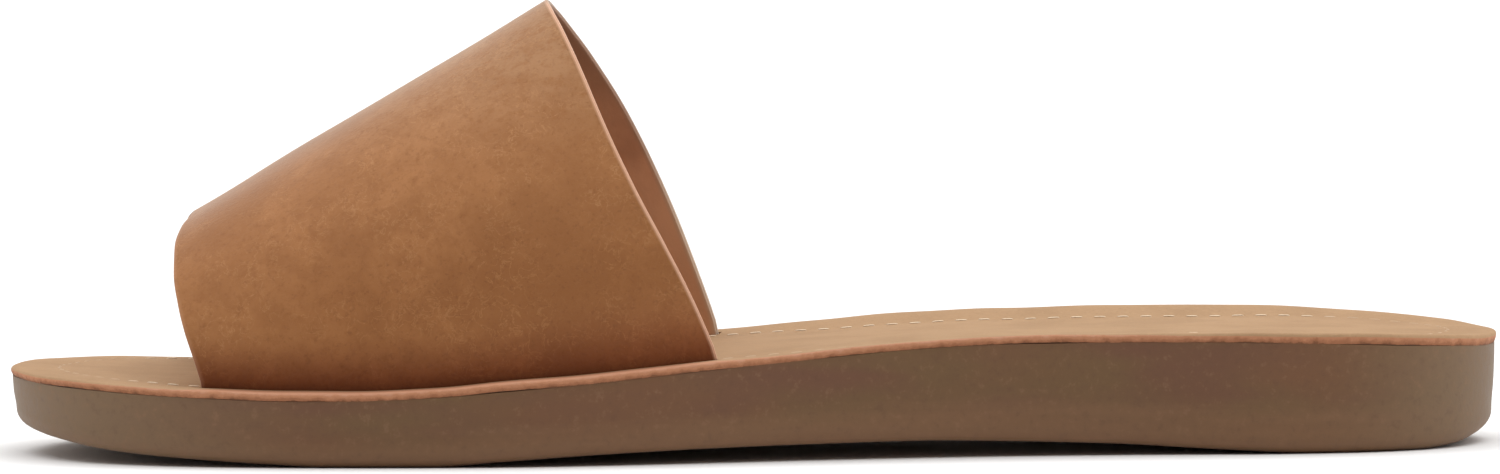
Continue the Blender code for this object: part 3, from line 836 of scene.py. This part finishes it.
@dataclass
class SoleUnit:
    """Moulded rubber sole: drafted side, rounded lower edge, strap seats and grooved tread."""

    form: SandalForm
    stations: int = 420
    top_strips: int = 12
    tread_strips: int = 26
    edge_steps: int = 8
    side_steps: int = 8
    groove_width: float = 0.0026
    groove_depth: float = 0.0014
    groove_pitch: float = 0.0085
    groove_margin: float = 0.011
    tread_zones: tuple[Range, ...] = ((0.085, 0.375), (0.790, 0.940))
    step: float = 0.00004
    rim_insets: tuple[float, ...] = (0.0018, 0.0001)
    rim_drop: float = 0.00006
    # strength and height of the painted bounce light on the rounded lower edge
    edge_bounce_light: float = 0.5
    bounce_light_height: float = 0.0032
    toe_tip: Range = (0.070, 0.118)
    toe_sheen: float = 0.9
    heel_tip: Range = (0.094, 0.124)
    heel_sheen: float = 0.85
    sharp_degrees: float = 50.0

    def groove_places(self) -> Array:
        """Places along X of the tread's grooves: evenly spaced and centred in each zone."""
        places = []
        for start, end in self.tread_zones:
            count = int((end - start) * self.form.sole_length / self.groove_pitch) + 1
            middle = 0.5 * (start + end) * self.form.sole_length - 0.5 * self.form.sole_length
            places.append(middle + (np.arange(count) - 0.5 * (count - 1)) * self.groove_pitch)
        return np.concatenate(places)

    def station_places(self) -> Array:
        """Places along X of the sections, set on both sides of every groove's and seat's wall."""
        form = self.form
        half, step = 0.5 * self.groove_width, self.step
        walls = np.array((-half - step, -half + step, half - step, half + step))
        grooves = (self.groove_places()[:, None] + walls).ravel()
        seat = (form.slot_ends()[:, None] + np.array((-step, step))).ravel()
        reach = 0.5 * form.sole_length - form.side_draft - form.edge_radius
        return crowded_places(reach, self.stations, np.concatenate((grooves, seat)), 4.0 * step)

    def side_rows(self, side: Side, x: Array) -> list[Array]:
        """Rows of one side, from the middle of the top round the edge to the tread.

        The seat is a step down between two insets, the side leans in by the draft, and the lower
        edge is a quarter circle of the edge radius.
        """
        form, step = self.form, self.step
        turn = form.turns_for(x, side, form.side_draft + form.edge_radius)
        outer = form.strap_inset - form.clearance
        inner = form.strap_inset + form.bend_radius + form.lasting_margin + form.clearance
        front, rear = form.slot_ends()
        seat = (form.strap_thickness + form.clearance) * ((x > front) & (x < rear))

        rows = []
        for inset, depth in (
            (inner + step, 0.0), (inner - step, seat), (outer + step, seat), (outer - step, 0.0),
            *((inset, 0.0) for inset in self.rim_insets),
        ):
            plan = form.outline(turn, side, inset)
            rows.append(np.column_stack((plan, form.sole_top(*plan.T) - depth)))
        top = form.sole_top(*form.outline(turn, side, 0.0).T) - self.rim_drop
        for share in np.linspace(0.0, 1.0, self.side_steps + 1):
            lean = eased(share, SIDE_SECTION["depth"], SIDE_SECTION["inward"])
            plan = form.outline(turn, side, lean * form.side_draft)
            foot = form.sole_under(plan[:, 0]) + form.edge_radius
            rows.append(np.column_stack((plan, top + share * (foot - top))))
        for number in range(1, self.edge_steps + 1):
            angle = 0.5 * np.pi * number / self.edge_steps
            plan = form.outline(turn, side, form.side_draft + form.edge_radius * (1.0 - math.cos(angle)))
            height = form.sole_under(plan[:, 0]) + form.edge_radius * (1.0 - math.sin(angle))
            rows.append(np.column_stack((plan, height)))
        return rows

    def tread_rows(self, low: Array, high: Array) -> list[Array]:
        """Rows across the tread between its two edges, sunk by the depth inside the grooves.

        Args:
            low: the lateral edge, that the rows start from.
            high: the medial edge, that they end at.

        Returns:
            The rows between the two edges.
        """
        form, strips = self.form, self.tread_strips
        x = 0.5 * (low[:, 0] + high[:, 0])
        grooves = self.groove_places()
        nearest = grooves[np.abs(x[:, None] - grooves[None, :]).argmin(axis=1)]
        inside = np.abs(x - nearest) < 0.5 * self.groove_width
        turn = form.turn_at(form.along_at(nearest))
        lateral = self.groove_margin - form.breadth(turn, Side.LATERAL)
        medial = form.breadth(turn, Side.MEDIAL) - self.groove_margin
        sign = np.sign(medial - lateral)
        start = np.where(sign * (lateral - low[:, 1]) > self.step, lateral, low[:, 1])
        end = np.where(sign * (high[:, 1] - medial) > self.step, medial, high[:, 1])
        plain = form.sole_under(x)
        roof = np.where(inside, form.sole_under(nearest) + self.groove_depth, plain)
        places = [start + (end - start) * number / strips for number in range(strips + 1)]
        before = np.column_stack((x, places[0] - sign * self.step, plain))
        after = np.column_stack((x, places[-1] + sign * self.step, plain))
        return [before, *(np.column_stack((x, y, roof)) for y in places), after]

    def build(self) -> None:
        """Build the sole as closed sections from toe to heel and dress it."""
        x = self.station_places()
        lateral, medial = self.side_rows(Side.LATERAL, x), self.side_rows(Side.MEDIAL, x)
        tread = self.tread_rows(lateral[-1], medial[-1])
        shares = np.arange(1, self.top_strips) / self.top_strips
        top = [medial[0] + share * (lateral[0] - medial[0]) for share in shares]
        points = np.stack(lateral + tread + medial[::-1] + top)
        faces = grid_faces(numbered(points), close_rows=True).reshape(-1, 4).tolist()
        x, y, z = np.moveaxis(points, -1, 0)
        above = z - self.form.sole_under(x)
        tall = self.form.sole_top(x, y) - self.form.sole_under(x)
        toe, heel = smooth_step(*self.toe_tip, -x), smooth_step(*self.heel_tip, x)
        marks = {
            # painted bounce light from the floor on the rounded lower edge
            "worn": self.edge_bounce_light * (1.0 - smooth_step(0.0, self.bounce_light_height, above)),
            # share down the side, where the painted bounce light grows
            "side": 1.0 - np.clip(above / tall, 0.0, 1.0),
            # painted sheen at the toe and heel ends
            "tip": self.toe_sheen * toe + self.heel_sheen * heel,
        }
        piece = make_piece("sole_unit", points, faces, marks, self.sharp_degrees)
        dress(piece, RubberFinish().material(), "unit_sole")


@dataclass
class Footbed:
    """Footbed with a softened, painted rim, a pressed stitch channel and two strap slots."""

    form: SandalForm
    stations: int = 460
    station_gap: float = 0.0002
    slot_search: float = 1e-7
    middle_strips: int = 18
    under_strips: int = 10
    rim_radius: float = 0.0006
    rim_steps: int = 7
    rim_drop: float = 0.00014
    rim_tuck: float = 0.00003
    edge_shares: tuple[float, ...] = (0.2, 0.4, 0.6, 0.75, 0.88, 1.0)
    shoulder: float = 0.0032
    shoulder_width: float = 0.0022
    shoulder_drop: float = 0.00012
    under_inset: float = 0.0006
    channel_depth: float = 0.00003
    channel_half: float = 0.0011
    channel_shares: tuple[float, ...] = (-1.0, -0.66, -0.33, 0.0, 0.33, 0.66, 1.0)
    stitch_inset: float = 0.0080
    bare: float = -0.001
    paint_start: float = 0.00022
    paint_tips: float = 0.00030
    paint_strap: float = 0.0006
    toe_range: Range = (0.04, 0.12)
    heel_range: Range = (0.70, 0.86)
    heel_weight: float = 1.8
    strap_paint: tuple[Range, ...] = ((0.122, 0.150), (0.455, 0.485))
    contact_shade_span: tuple[Range, ...] = ((0.124, 0.160), (0.440, 0.482))
    paint_blur: Range = (-0.00018, 0.00022)
    # painted contact shadow at the slot's outer edge
    slot_contact_shade: float = 0.85
    slow_waver: Range = (0.00004, 23.0)
    quick_waver: Range = (0.00003, 71.0)
    waver_sway: Range = (1.3, 17.0)
    waver_start: float = 2.0
    sharp_degrees: float = 48.0

    def station_places(self) -> Array:
        """Places along X of the sections, crowded at the tips and set on both slots' ends."""
        reach = 0.5 * self.form.sole_length - self.form.strap_inset
        return crowded_places(reach, self.stations, self.form.slot_ends(), self.station_gap)

    def surface(self, plan: Array) -> Array:
        """Height of the upper face, with a very slight unevenness of the board under it."""
        ripple = waves(np.column_stack((plan, np.zeros(len(plan)))), BOARD_WAVES)
        return self.form.footbed_top(*plan.T) + ripple

    def underside(self, plan: Array) -> Array:
        """Height of the lower face."""
        return self.form.footbed_under(*plan.T)

    def waver(self, turn: Array) -> Array:
        """How far the hand-trimmed rim strays inward: a slow uneven wave and a quick one."""
        (slow_depth, slow_pace), (quick_depth, quick_pace) = self.slow_waver, self.quick_waver
        sway, sway_pace = self.waver_sway
        slow = slow_depth * np.sin(turn * slow_pace + sway * np.sin(turn * sway_pace))
        return slow + quick_depth * np.sin(turn * quick_pace + self.waver_start)

    def side_rows(
        self, side: Side, x: Array,
    ) -> tuple[list[Array], dict[str, list[Array]], dict[str, int]]:
        """Rows of one side from the middle of the top over the rim to the underside.

        The channel is a shallow cosine trough on the stitch line. The rim is a quarter circle of
        the rim radius over a straight edge that wavers a little.

        Args:
            side: side of the foot.
            x: places of the sections along X.

        Returns:
            The rows, the marks that the finish reads, and the numbers of the rows that bound
            the slot.
        """
        form = self.form
        turn = form.turns_for(x, side, form.strap_inset)
        along = form.along_at(x)
        tall = form.height_column(x, "footbed") * form.footbed_thickness + form.clearance
        heel = self.heel_weight * smooth_step(*self.heel_range, along)
        tips = 1.0 - smooth_step(*self.toe_range, along) + heel
        by_strap = stretch(*self.strap_paint, along)
        start = self.paint_start + self.paint_tips * tips - self.paint_strap * by_strap
        contact_shade_along = stretch(*self.contact_shade_span, along)
        rows: list[Array] = []
        looks: dict[str, list[Array]] = {"rim": [], "rim_depth": [], "contact": []}
        bounds: dict[str, int] = {}

        def lay(
            inset: Array | float, sink: Array | float, paint: Array | float,
            contact: float = 0.0, face: Callable[[Array], Array] = self.surface,
        ) -> None:
            """Add one row at an inset, sunk below a face and painted by a depth down the rim.

            Beside the strap the paint runs in over the rim and fades out before the slot.
            """
            plan = form.outline(turn, side, inset)
            rows.append(np.column_stack((plan, face(plan) - sink)))
            looks["rim"].append(smooth_step(*self.paint_blur, paint - start))
            looks["rim_depth"].append(np.clip(paint / tall, 0.0, 1.0))
            # painted contact shadow by the strap's base, only along the strap's seat
            looks["contact"].append(contact * contact_shade_along)

        def lay_bound(name: str, inset: float, paint: float, contact: float, face: Callable) -> None:
            """Add a row that bounds the slot and keep its number."""
            bounds[name] = len(rows)
            lay(inset, 0.0, paint, contact, face)

        for share in self.channel_shares:
            sink = self.channel_depth * 0.5 * (1.0 + math.cos(math.pi * share))
            lay(self.stitch_inset - share * self.channel_half, sink, self.bare)
        slot_inner = form.strap_inset + form.strap_thickness + form.clearance
        slot_outer = form.strap_inset - form.clearance
        lay_bound("top_inner", slot_inner, self.bare, 0.0, self.surface)
        lay_bound("top_outer", slot_outer, self.bare, self.slot_contact_shade, self.surface)
        for inset, paint, contact in zip(*SHOULDER_ROWS.values()):
            sink = self.shoulder_drop * (self.shoulder - inset) / self.shoulder_width
            lay(inset, sink, paint, contact)
        waver = self.waver(turn)
        for number in range(self.rim_steps + 1):
            angle = 0.5 * np.pi * number / self.rim_steps
            out, down = math.sin(angle), 1.0 - math.cos(angle)
            drop = self.rim_drop + self.rim_radius * down
            lay(self.rim_radius * (1.0 - out) - form.footbed_overhang + waver * out, drop, drop)
        for share in self.edge_shares:
            drop = self.rim_drop + self.rim_radius + share * (tall - self.rim_radius - self.rim_drop)
            tuck = (form.footbed_overhang + self.rim_tuck) * share ** 2
            lay(waver - form.footbed_overhang + tuck, drop, drop)
        lay(self.under_inset, 0.0, 1.0, 0.0, self.underside)
        lay_bound("under_outer", slot_outer, 0.0, 0.0, self.underside)
        lay_bound("under_inner", slot_inner, 0.0, 0.0, self.underside)
        return rows, looks, bounds

    def build(self) -> None:
        """Build the footbed as closed sections from toe to heel, open its slots and dress it."""
        x = self.station_places()
        lateral, looks, bounds = self.side_rows(Side.LATERAL, x)
        medial = self.side_rows(Side.MEDIAL, x)[0]
        under = between(lateral[-1], medial[-1], self.under_strips, self.underside)
        over = between(medial[0], lateral[0], self.middle_strips, self.surface)
        points = np.stack(lateral + under + medial[::-1] + over)
        plain = [np.zeros(len(x))]
        marks = {
            name: np.stack(values + plain * len(under) + values[::-1] + plain * len(over))
            for name, values in looks.items()
        }
        index = numbered(points)
        cells = grid_faces(index, close_rows=True)
        keep = np.ones(cells.shape[:2], dtype=bool)

        first, last = np.searchsorted(x, self.form.slot_ends() - self.slot_search)
        mirrored = {name: 2 * len(lateral) + len(under) - 1 - row for name, row in bounds.items()}
        walls: list[list[int]] = []
        for rows in (bounds, mirrored):
            for one, other in (("top_inner", "top_outer"), ("under_outer", "under_inner")):
                keep[min(rows[one], rows[other]), first:last] = False
            for upper, lower in (("top_inner", "under_inner"), ("top_outer", "under_outer")):
                pair = index[[rows[upper], rows[lower]], first:last + 1]
                walls += grid_faces(pair).reshape(-1, 4).tolist()
            for place in (first, last):
                corners = ("top_inner", "top_outer", "under_outer", "under_inner")
                walls.append([int(index[rows[name], place]) for name in corners])
        faces = cells[keep].reshape(-1, 4).tolist() + walls
        piece = make_piece("footbed", points, faces, marks, self.sharp_degrees)
        dress(piece, FootbedFinish().material(), "insole")


@dataclass
class StitchRow:
    """Row of raised cream stitches round the footbed."""

    form: SandalForm
    footbed: Footbed
    pitch: float = 0.0040
    length: float = 0.0023
    first: float = 0.25
    thread_radius: float = 0.00026
    flatness: float = 0.42
    bow: float = 0.00012
    seat: float = 0.00004
    sink: float = 0.00008
    lean: float = 0.00012
    unevenness: float = 0.12
    uneven_turn: float = 2.4
    toe_fade: Range = (0.06, 0.12)
    heel_fade: Range = (0.85, 0.93)
    waist_fade: tuple[Range, ...] = ((0.44, 0.48), (0.56, 0.62))
    waist_share: float = 0.8
    middle_range: Range = (-0.004, 0.004)
    around: int = 8
    along: int = 9
    path_points: int = 1600
    sharp_degrees: float = 80.0
    merge: float = 1e-7

    def path(self) -> Array:
        """Closed line of the stitches on the footbed, once round from the toe tip."""
        turn = np.linspace(0.0, np.pi, self.path_points)
        inset = self.footbed.stitch_inset
        lateral = self.form.outline(turn, Side.LATERAL, inset)
        medial = self.form.outline(turn, Side.MEDIAL, inset)[::-1]
        plan = np.concatenate((lateral, medial[1:]))
        return np.column_stack((plan, self.footbed.surface(plan) - self.footbed.channel_depth))

    def fade(self, centre: Array) -> Array:
        """How far the thread is faded and sunk: at both tips and at the outer side's waist."""
        place = self.form.along_at(centre[..., 0])
        outer = 1.0 - smooth_step(*self.middle_range, centre[..., 1])
        waist = self.waist_share * stretch(*self.waist_fade, place) * outer
        heel = smooth_step(*self.heel_fade, place)
        return 1.0 - smooth_step(*self.toe_fade, place) + heel + waist

    def build(self) -> None:
        """Build every stitch at once and dress the row.

        A stitch is a round thread whose radius falls to nothing at both ends, as the eighth-power
        rounding of a unit interval, and whose middle line bows up from the channel. It leans a
        little off the line, as lockstitch does.
        """
        path = self.path()
        steps = np.linalg.norm(np.diff(path, axis=0), axis=1)
        run = np.concatenate(([0.0], np.cumsum(steps)))
        count = int(round(run[-1] / self.pitch))
        starts = (np.arange(count) + self.first) * run[-1] / count
        share = np.linspace(0.0, 1.0, self.along)
        at = starts[:, None] + share[None, :] * self.length
        centre = np.stack([np.interp(at, run, path[:, axis]) for axis in range(3)], axis=-1)
        tangent = centre[:, -1] - centre[:, 0]
        tangent /= np.linalg.norm(tangent, axis=-1, keepdims=True)
        across = np.stack((-tangent[:, 1], tangent[:, 0], np.zeros(count)), axis=-1)
        rising = np.array((0.0, 0.0, 1.0))
        middle = 2.0 * share - 1.0
        radius = self.thread_radius * np.sqrt(np.clip(1.0 - middle ** 8, 0.0, 1.0))
        bow = self.bow * (1.0 - middle ** 4) - self.seat
        fade = self.fade(centre)
        uneven = 1.0 + self.unevenness * np.sin(np.arange(count) * self.uneven_turn)
        centre = centre + (bow[None, :] * uneven[:, None] - self.sink * fade)[..., None] * rising
        centre = centre + (self.lean * middle)[None, :, None] * across[:, None, :]
        angle = np.linspace(0.0, 2.0 * np.pi, self.around, endpoint=False)
        wide = np.cos(angle)[None, None, :, None] * across[:, None, None, :]
        tall = self.flatness * np.sin(angle)[None, None, :, None] * rising
        points = centre[:, :, None, :] + radius[None, :, None, None] * (wide + tall)
        size = self.along * self.around
        one = grid_faces(np.arange(size).reshape(self.along, self.around), close_places=True)
        faces = one.reshape(1, -1, 4) + size * np.arange(count)[:, None, None]
        faces = faces.reshape(-1, 4).tolist()
        marks = {"fade": np.repeat(fade[:, :, None], self.around, axis=2)}
        piece = make_piece("footbed_stitches", points, faces, marks, self.sharp_degrees, self.merge)
        dress(piece, ThreadFinish().material())


@dataclass
class Strap:
    """The one-piece upper: an outer nubuck and a lining, lasted under the footbed."""

    form: SandalForm
    crest_rear: float = 0.0926
    front_instep: float = 0.0278
    rear_instep: float = 0.0597
    crest_offset: float = 0.0030
    front_bulge: float = 0.0051
    hoop_fullness: float = 0.92
    outer_thickness: float = 0.00112
    lining_gap: float = 0.00001
    lining_setback: float = 0.00006
    edge_radius: float = 0.00026
    glue_radius: float = 0.00006
    bulge_rise: Range = (0.001, 0.012)
    edge_steps: int = 4
    places: int = 96
    hoop_steps: int = 110
    margin_steps: int = 3
    bend_steps: int = 7
    sharp_degrees: float = 60.0
    band: float = 0.00034
    band_columns: tuple[Range, ...] = ((2.6, 0.0), (1.6, 0.3), (1.0, 0.9))
    front_paint: float = 0.25
    rear_range: Range = (-0.060, -0.012)
    rear_base: Range = (0.007, 0.015)
    rear_base_lift: float = 0.85
    front_range: Range = (-0.098, -0.068)
    front_shade: float = 0.35
    far_range: Range = (-0.004, 0.006)
    low_range: Range = (0.016, 0.040)
    shade_range: Range = (0.015, 0.041)
    crest_range: Range = (0.030, 0.062)
    burnish_and_shade_front: float = 0.0100
    burnish_and_shade_rear: float = 0.006

    def margin_rows(self, shares: Array, side: Side) -> list[Array]:
        """Rows from the end of the lasted margin, round its bend and up to the footbed."""
        form = self.form
        bend = form.bend_radius
        levels = [
            (bend + form.lasting_margin * (1.0 - number / self.margin_steps), 0.0)
            for number in range(self.margin_steps)
        ]
        for number in range(self.bend_steps + 1):
            angle = 0.5 * np.pi * number / self.bend_steps
            levels.append((bend * (1.0 - math.sin(angle)), bend * (1.0 - math.cos(angle))))
        rows = []
        for inward, rise in levels:
            plan = form.inset_line(form.seat_places(shares), side, form.strap_inset + inward)
            rows.append(np.column_stack((plan, form.margin_under(*plan.T) + rise)))
        return rows

    def hoop_rows(self, shares: Array, side: Side, arounds: Array) -> list[Array]:
        """Rows over the foot, from one seat to the crest.

        At a share of the quarter turn from seat to crest, the distance out is the seat's times the
        cosine and the height the crest's times the sine, both to the power of the fullness. X runs
        from the front edge to the rear edge, which the table of edges bends.
        """
        form = self.form
        half = 0.5 * form.sole_length
        seat = form.inset_line(form.seat_places(shares), side, form.strap_inset)
        seat_height = form.footbed_top(*seat.T)
        front_height = form.footbed_top(seat[:1, 0], np.zeros(1)) + self.front_instep
        rear_height = form.footbed_top(seat[-1:, 0], np.zeros(1)) + self.rear_instep
        crest_height = front_height + shares * (rear_height - front_height)
        knots, edges = STRAP_EDGES["around"], STRAP_EDGES["rear_" + side.name.lower()]
        rows = []
        for around in arounds:
            angle = 0.5 * np.pi * around
            out_share = max(0.0, math.cos(angle)) ** self.hoop_fullness
            height_share = math.sin(angle) ** self.hoop_fullness
            forward = self.front_bulge * eased(around, knots, STRAP_EDGES["forward"], False)
            sweep = eased(around, knots, edges, False)
            front_x = form.strap_front - forward - half
            rear_x = form.strap_rear - sweep * (form.strap_rear - self.crest_rear) - half
            x = front_x + shares * (rear_x - front_x)
            y = self.crest_offset + (seat[:, 1] - self.crest_offset) * out_share
            z = seat_height + (crest_height - seat_height) * height_share
            rows.append(np.column_stack((x, y, z)))
        return rows

    def outer_face(self) -> Array:
        """The strap's outer face as a grid, from the medial margin over the crest to the lateral."""
        shares = np.linspace(0.0, 1.0, self.places)
        arounds = np.linspace(0.0, 1.0, self.hoop_steps // 2 + 1)
        rows = self.margin_rows(shares, Side.MEDIAL) + self.hoop_rows(shares, Side.MEDIAL, arounds[1:])
        rows += self.hoop_rows(shares, Side.LATERAL, arounds[-2:0:-1])
        rows += self.margin_rows(shares, Side.LATERAL)[::-1]
        return np.stack(rows)

    def above_footbed(self, points: Array) -> Array:
        """Height of points above the footbed's upper face."""
        return points[..., 2] - self.form.footbed_top(points[..., 0], points[..., 1])

    def look_marks(self, points: Array, edge: list[float]) -> dict[str, Array]:
        """Marks that both finishes read, from each point's height above the footbed and place."""
        x, above = points[..., 0], self.above_footbed(points)
        rearward = smooth_step(*self.rear_range, x)
        low_rear = rearward * (1.0 - smooth_step(*self.rear_base, above))
        inside = self.front_shade + (1.0 - self.front_shade) * smooth_step(*self.front_range, x)
        dark = 1.0 - smooth_step(*self.shade_range, above)
        burnish_and_shade_reach = self.burnish_and_shade_front + self.burnish_and_shade_rear * rearward
        return {
            "cut_edge": np.outer(np.ones(points.shape[0]), edge),
            "far": smooth_step(*self.far_range, points[..., 1]),
            # lower part: a paler lining, and painted rim light on the far cut edge
            "low": 1.0 - smooth_step(*self.low_range, above),
            # painted shade lower down the strap, lifted low at the rear and weaker at the front
            "shade": dark * (1.0 - self.rear_base_lift * low_rear) * inside,
            # burnish and painted shade at the strap's base, reaching higher towards the rear
            "burnish": 1.0 - smooth_step(0.0, burnish_and_shade_reach, above),
            # towards the crest: painted sheen on the nubuck and painted shade on the lining
            "crest": smooth_step(*self.crest_range, above),
        }

    def build_layer(
        self, name: str, setback: float, near: float, far: float, radii: Range,
    ) -> bpy.types.Object:
        """One leather layer as a closed shell between two depths below the outer face.

        Each row across the strap is a closed loop: the layer's outer face from front to rear, a
        rounded cut edge, its inner face back to the front and the other rounded edge.

        Args:
            name: the piece's name.
            setback: distance of the layer's cut edges behind the strap's own.
            near: depth of the layer's outer side.
            far: depth of the layer's inner side.
            radii: rounding of the cut edges' outer and inner corner.

        Returns:
            The layer's object.
        """
        face = self.outer_face()
        normal = grid_normals(face)
        inward = -normal
        bulge = waves(face, LEATHER_WAVES) * smooth_step(*self.bulge_rise, self.above_footbed(face))
        face = face + bulge[..., None] * normal
        along = np.gradient(face, axis=1)
        along /= np.linalg.norm(along, axis=-1, keepdims=True)
        face[:, 0] += setback * along[:, 0]
        face[:, -1] -= setback * along[:, -1]
        angles = 0.5 * np.pi * np.arange(self.edge_steps + 1) / self.edge_steps
        loop, edge = [], []

        def put(place: int, back: float, depth: float, mark: float) -> None:
            """Add one column of the loop, back from an edge's place and at a depth."""
            way = along[:, place] if place == 0 else -along[:, place]
            loop.append(face[:, place] + back * way + depth * inward[:, place])
            edge.append(mark)

        def corner(place: int, depth: float, sign: float, turns: Array) -> None:
            """Add a rounded corner of a cut edge: a quarter circle from one face to the other."""
            radius = radii[0] if sign > 0.0 else radii[1]
            paint = self.front_paint if place == 0 else 1.0
            for angle in turns:
                back, down = radius * (1.0 - math.sin(angle)), radius * (1.0 - math.cos(angle))
                put(place, back, depth + sign * down, paint * (0.5 + 0.5 * math.sin(angle)))

        corner(0, near, 1.0, angles[::-1])
        for place in range(1, self.places - 1):
            put(place, 0.0, near, 0.0)
        for back, mark in self.band_columns:
            put(-1, back * self.band, near, mark if near == 0.0 else 0.0)
        corner(-1, near, 1.0, angles)
        corner(-1, far, -1.0, angles[::-1])
        for place in range(self.places - 2, 0, -1):
            put(place, 0.0, far, 0.0)
        corner(0, far, -1.0, angles)

        points = np.stack(loop, axis=1)
        index = numbered(points)
        faces = grid_faces(index, close_places=True).reshape(-1, 4).tolist()
        faces += [index[0].tolist(), index[-1].tolist()]
        return make_piece(name, points, faces, self.look_marks(points, edge), self.sharp_degrees)

    def build(self) -> None:
        """Build the outer leather and the lining and dress them."""
        shown, glued = self.edge_radius, self.glue_radius
        outer = self.build_layer("strap_outer", 0.0, 0.0, self.outer_thickness, (shown, glued))
        dress(outer, NubuckFinish().material(), "strap")
        near, far = self.outer_thickness + self.lining_gap, self.form.strap_thickness
        lining = self.build_layer("strap_lining", self.lining_setback, near, far, (glued, shown))
        dress(lining, LiningFinish().material())


@dataclass
class Studio:
    """Plain pale floor, soft lights and the photograph's camera."""

    target: Triple = (-0.0004, 0.0, 0.0360)
    distance: float = 2.5
    elevation: float = 3.55
    roll: float = 0.5
    pixels_per_metre: float = 5813.7
    frame_width: int = 1500
    sensor_width: float = 36.0
    clip: Range = (0.05, 60.0)
    floor_half: float = 20.0
    floor_colour: Colour = (0.95, 0.95, 0.95)
    suns: tuple[tuple[str, Triple, float, float], ...] = (
        ("overhead_soft", (0.0, -0.02, 1.0), 80.0, 2.6),
        ("left_soft", (-1.0, 0.15, 0.50), 60.0, 0.50),
        ("right_soft", (1.0, 0.15, 0.50), 60.0, 0.80),
    )
    surround_range: Range = (-0.35, 0.75)
    surround_strength: Range = (0.15, 0.60)

    def build_camera(self) -> None:
        """Set the camera level with the photograph's: aimed from low in front, slightly rolled."""
        tilt, roll = math.radians(self.elevation), math.radians(self.roll)
        back = Vector((0.0, -math.cos(tilt), math.sin(tilt)))
        level_up = Vector((0.0, math.sin(tilt), math.cos(tilt)))
        level_right = Vector((1.0, 0.0, 0.0))
        right = level_right * math.cos(roll) - level_up * math.sin(roll)
        up = level_up * math.cos(roll) + level_right * math.sin(roll)
        data = bpy.data.cameras.new("photo_camera")
        data.sensor_width = self.sensor_width
        data.lens = self.sensor_width * self.distance * self.pixels_per_metre / self.frame_width
        data.clip_start, data.clip_end = self.clip
        camera = bpy.data.objects.new("photo_camera", data)
        turn = Matrix((right, up, back)).transposed().to_4x4()
        camera.matrix_world = Matrix.Translation(Vector(self.target) + back * self.distance) @ turn
        bpy.context.scene.collection.objects.link(camera)
        bpy.context.scene.camera = camera

    def build_floor(self) -> None:
        """Lay the pale floor."""
        half = self.floor_half
        mesh = bpy.data.meshes.new("studio_floor")
        corners = [(-half, -half, 0.0), (half, -half, 0.0), (half, half, 0.0), (-half, half, 0.0)]
        mesh.from_pydata(corners, [], [(0, 1, 2, 3)])
        floor = bpy.data.objects.new("studio_floor", mesh)
        bpy.context.scene.collection.objects.link(floor)
        mesh.materials.append(Recipe("studio_floor").finish(self.floor_colour, roughness=0.9, specular=0.1))

    def build_suns(self) -> None:
        """Hang the far, wide and soft lights: name, direction, width in degrees and strength."""
        for name, toward, width, strength in self.suns:
            data = bpy.data.lights.new(name, "SUN")
            data.energy = strength
            data.angle = math.radians(width)
            light = bpy.data.objects.new(name, data)
            light.rotation_euler = Vector(toward).to_track_quat("Z", "Y").to_euler()
            bpy.context.scene.collection.objects.link(light)

    def build_surround(self) -> None:
        """Set the pale surroundings: bright behind, dim in front, and white to the camera."""
        world = bpy.data.worlds.new("pale_surround")
        world.use_nodes = True
        nodes = Nodes(world.node_tree)
        lit = nodes.tree.nodes["Background"]
        generated = nodes.add("TexCoord", {}, "Generated")
        depth = nodes.add("SeparateXYZ", {"Vector": generated}, "Y")
        nodes.feed(lit.inputs["Color"], WHITE)
        nodes.feed(lit.inputs["Strength"], nodes.span(depth, *self.surround_range, *self.surround_strength))
        seen = nodes.add("Background", {"Color": WHITE, "Strength": 1.0}, "Background")
        to_camera = nodes.add("LightPath", {}, "Is Camera Ray")
        both = nodes.add("MixShader", {"Fac": to_camera, 1: lit.outputs["Background"], 2: seen}, "Shader")
        nodes.feed(nodes.tree.nodes["World Output"].inputs["Surface"], both)
        bpy.context.scene.world = world
        bpy.context.scene.view_settings.view_transform = "Standard"

    def build(self) -> None:
        """Set up floor, lights and camera."""
        self.build_floor()
        self.build_suns()
        self.build_surround()
        self.build_camera()


def main() -> None:
    """Build the sandal's pieces in order, then the studio."""
    logging.basicConfig(level=logging.INFO)
    form = SandalForm()
    footbed = Footbed(form)
    SoleUnit(form).build()
    footbed.build()
    StitchRow(form, footbed).build()
    Strap(form).build()
    Studio().build()


if __name__ == "__main__":
    main()
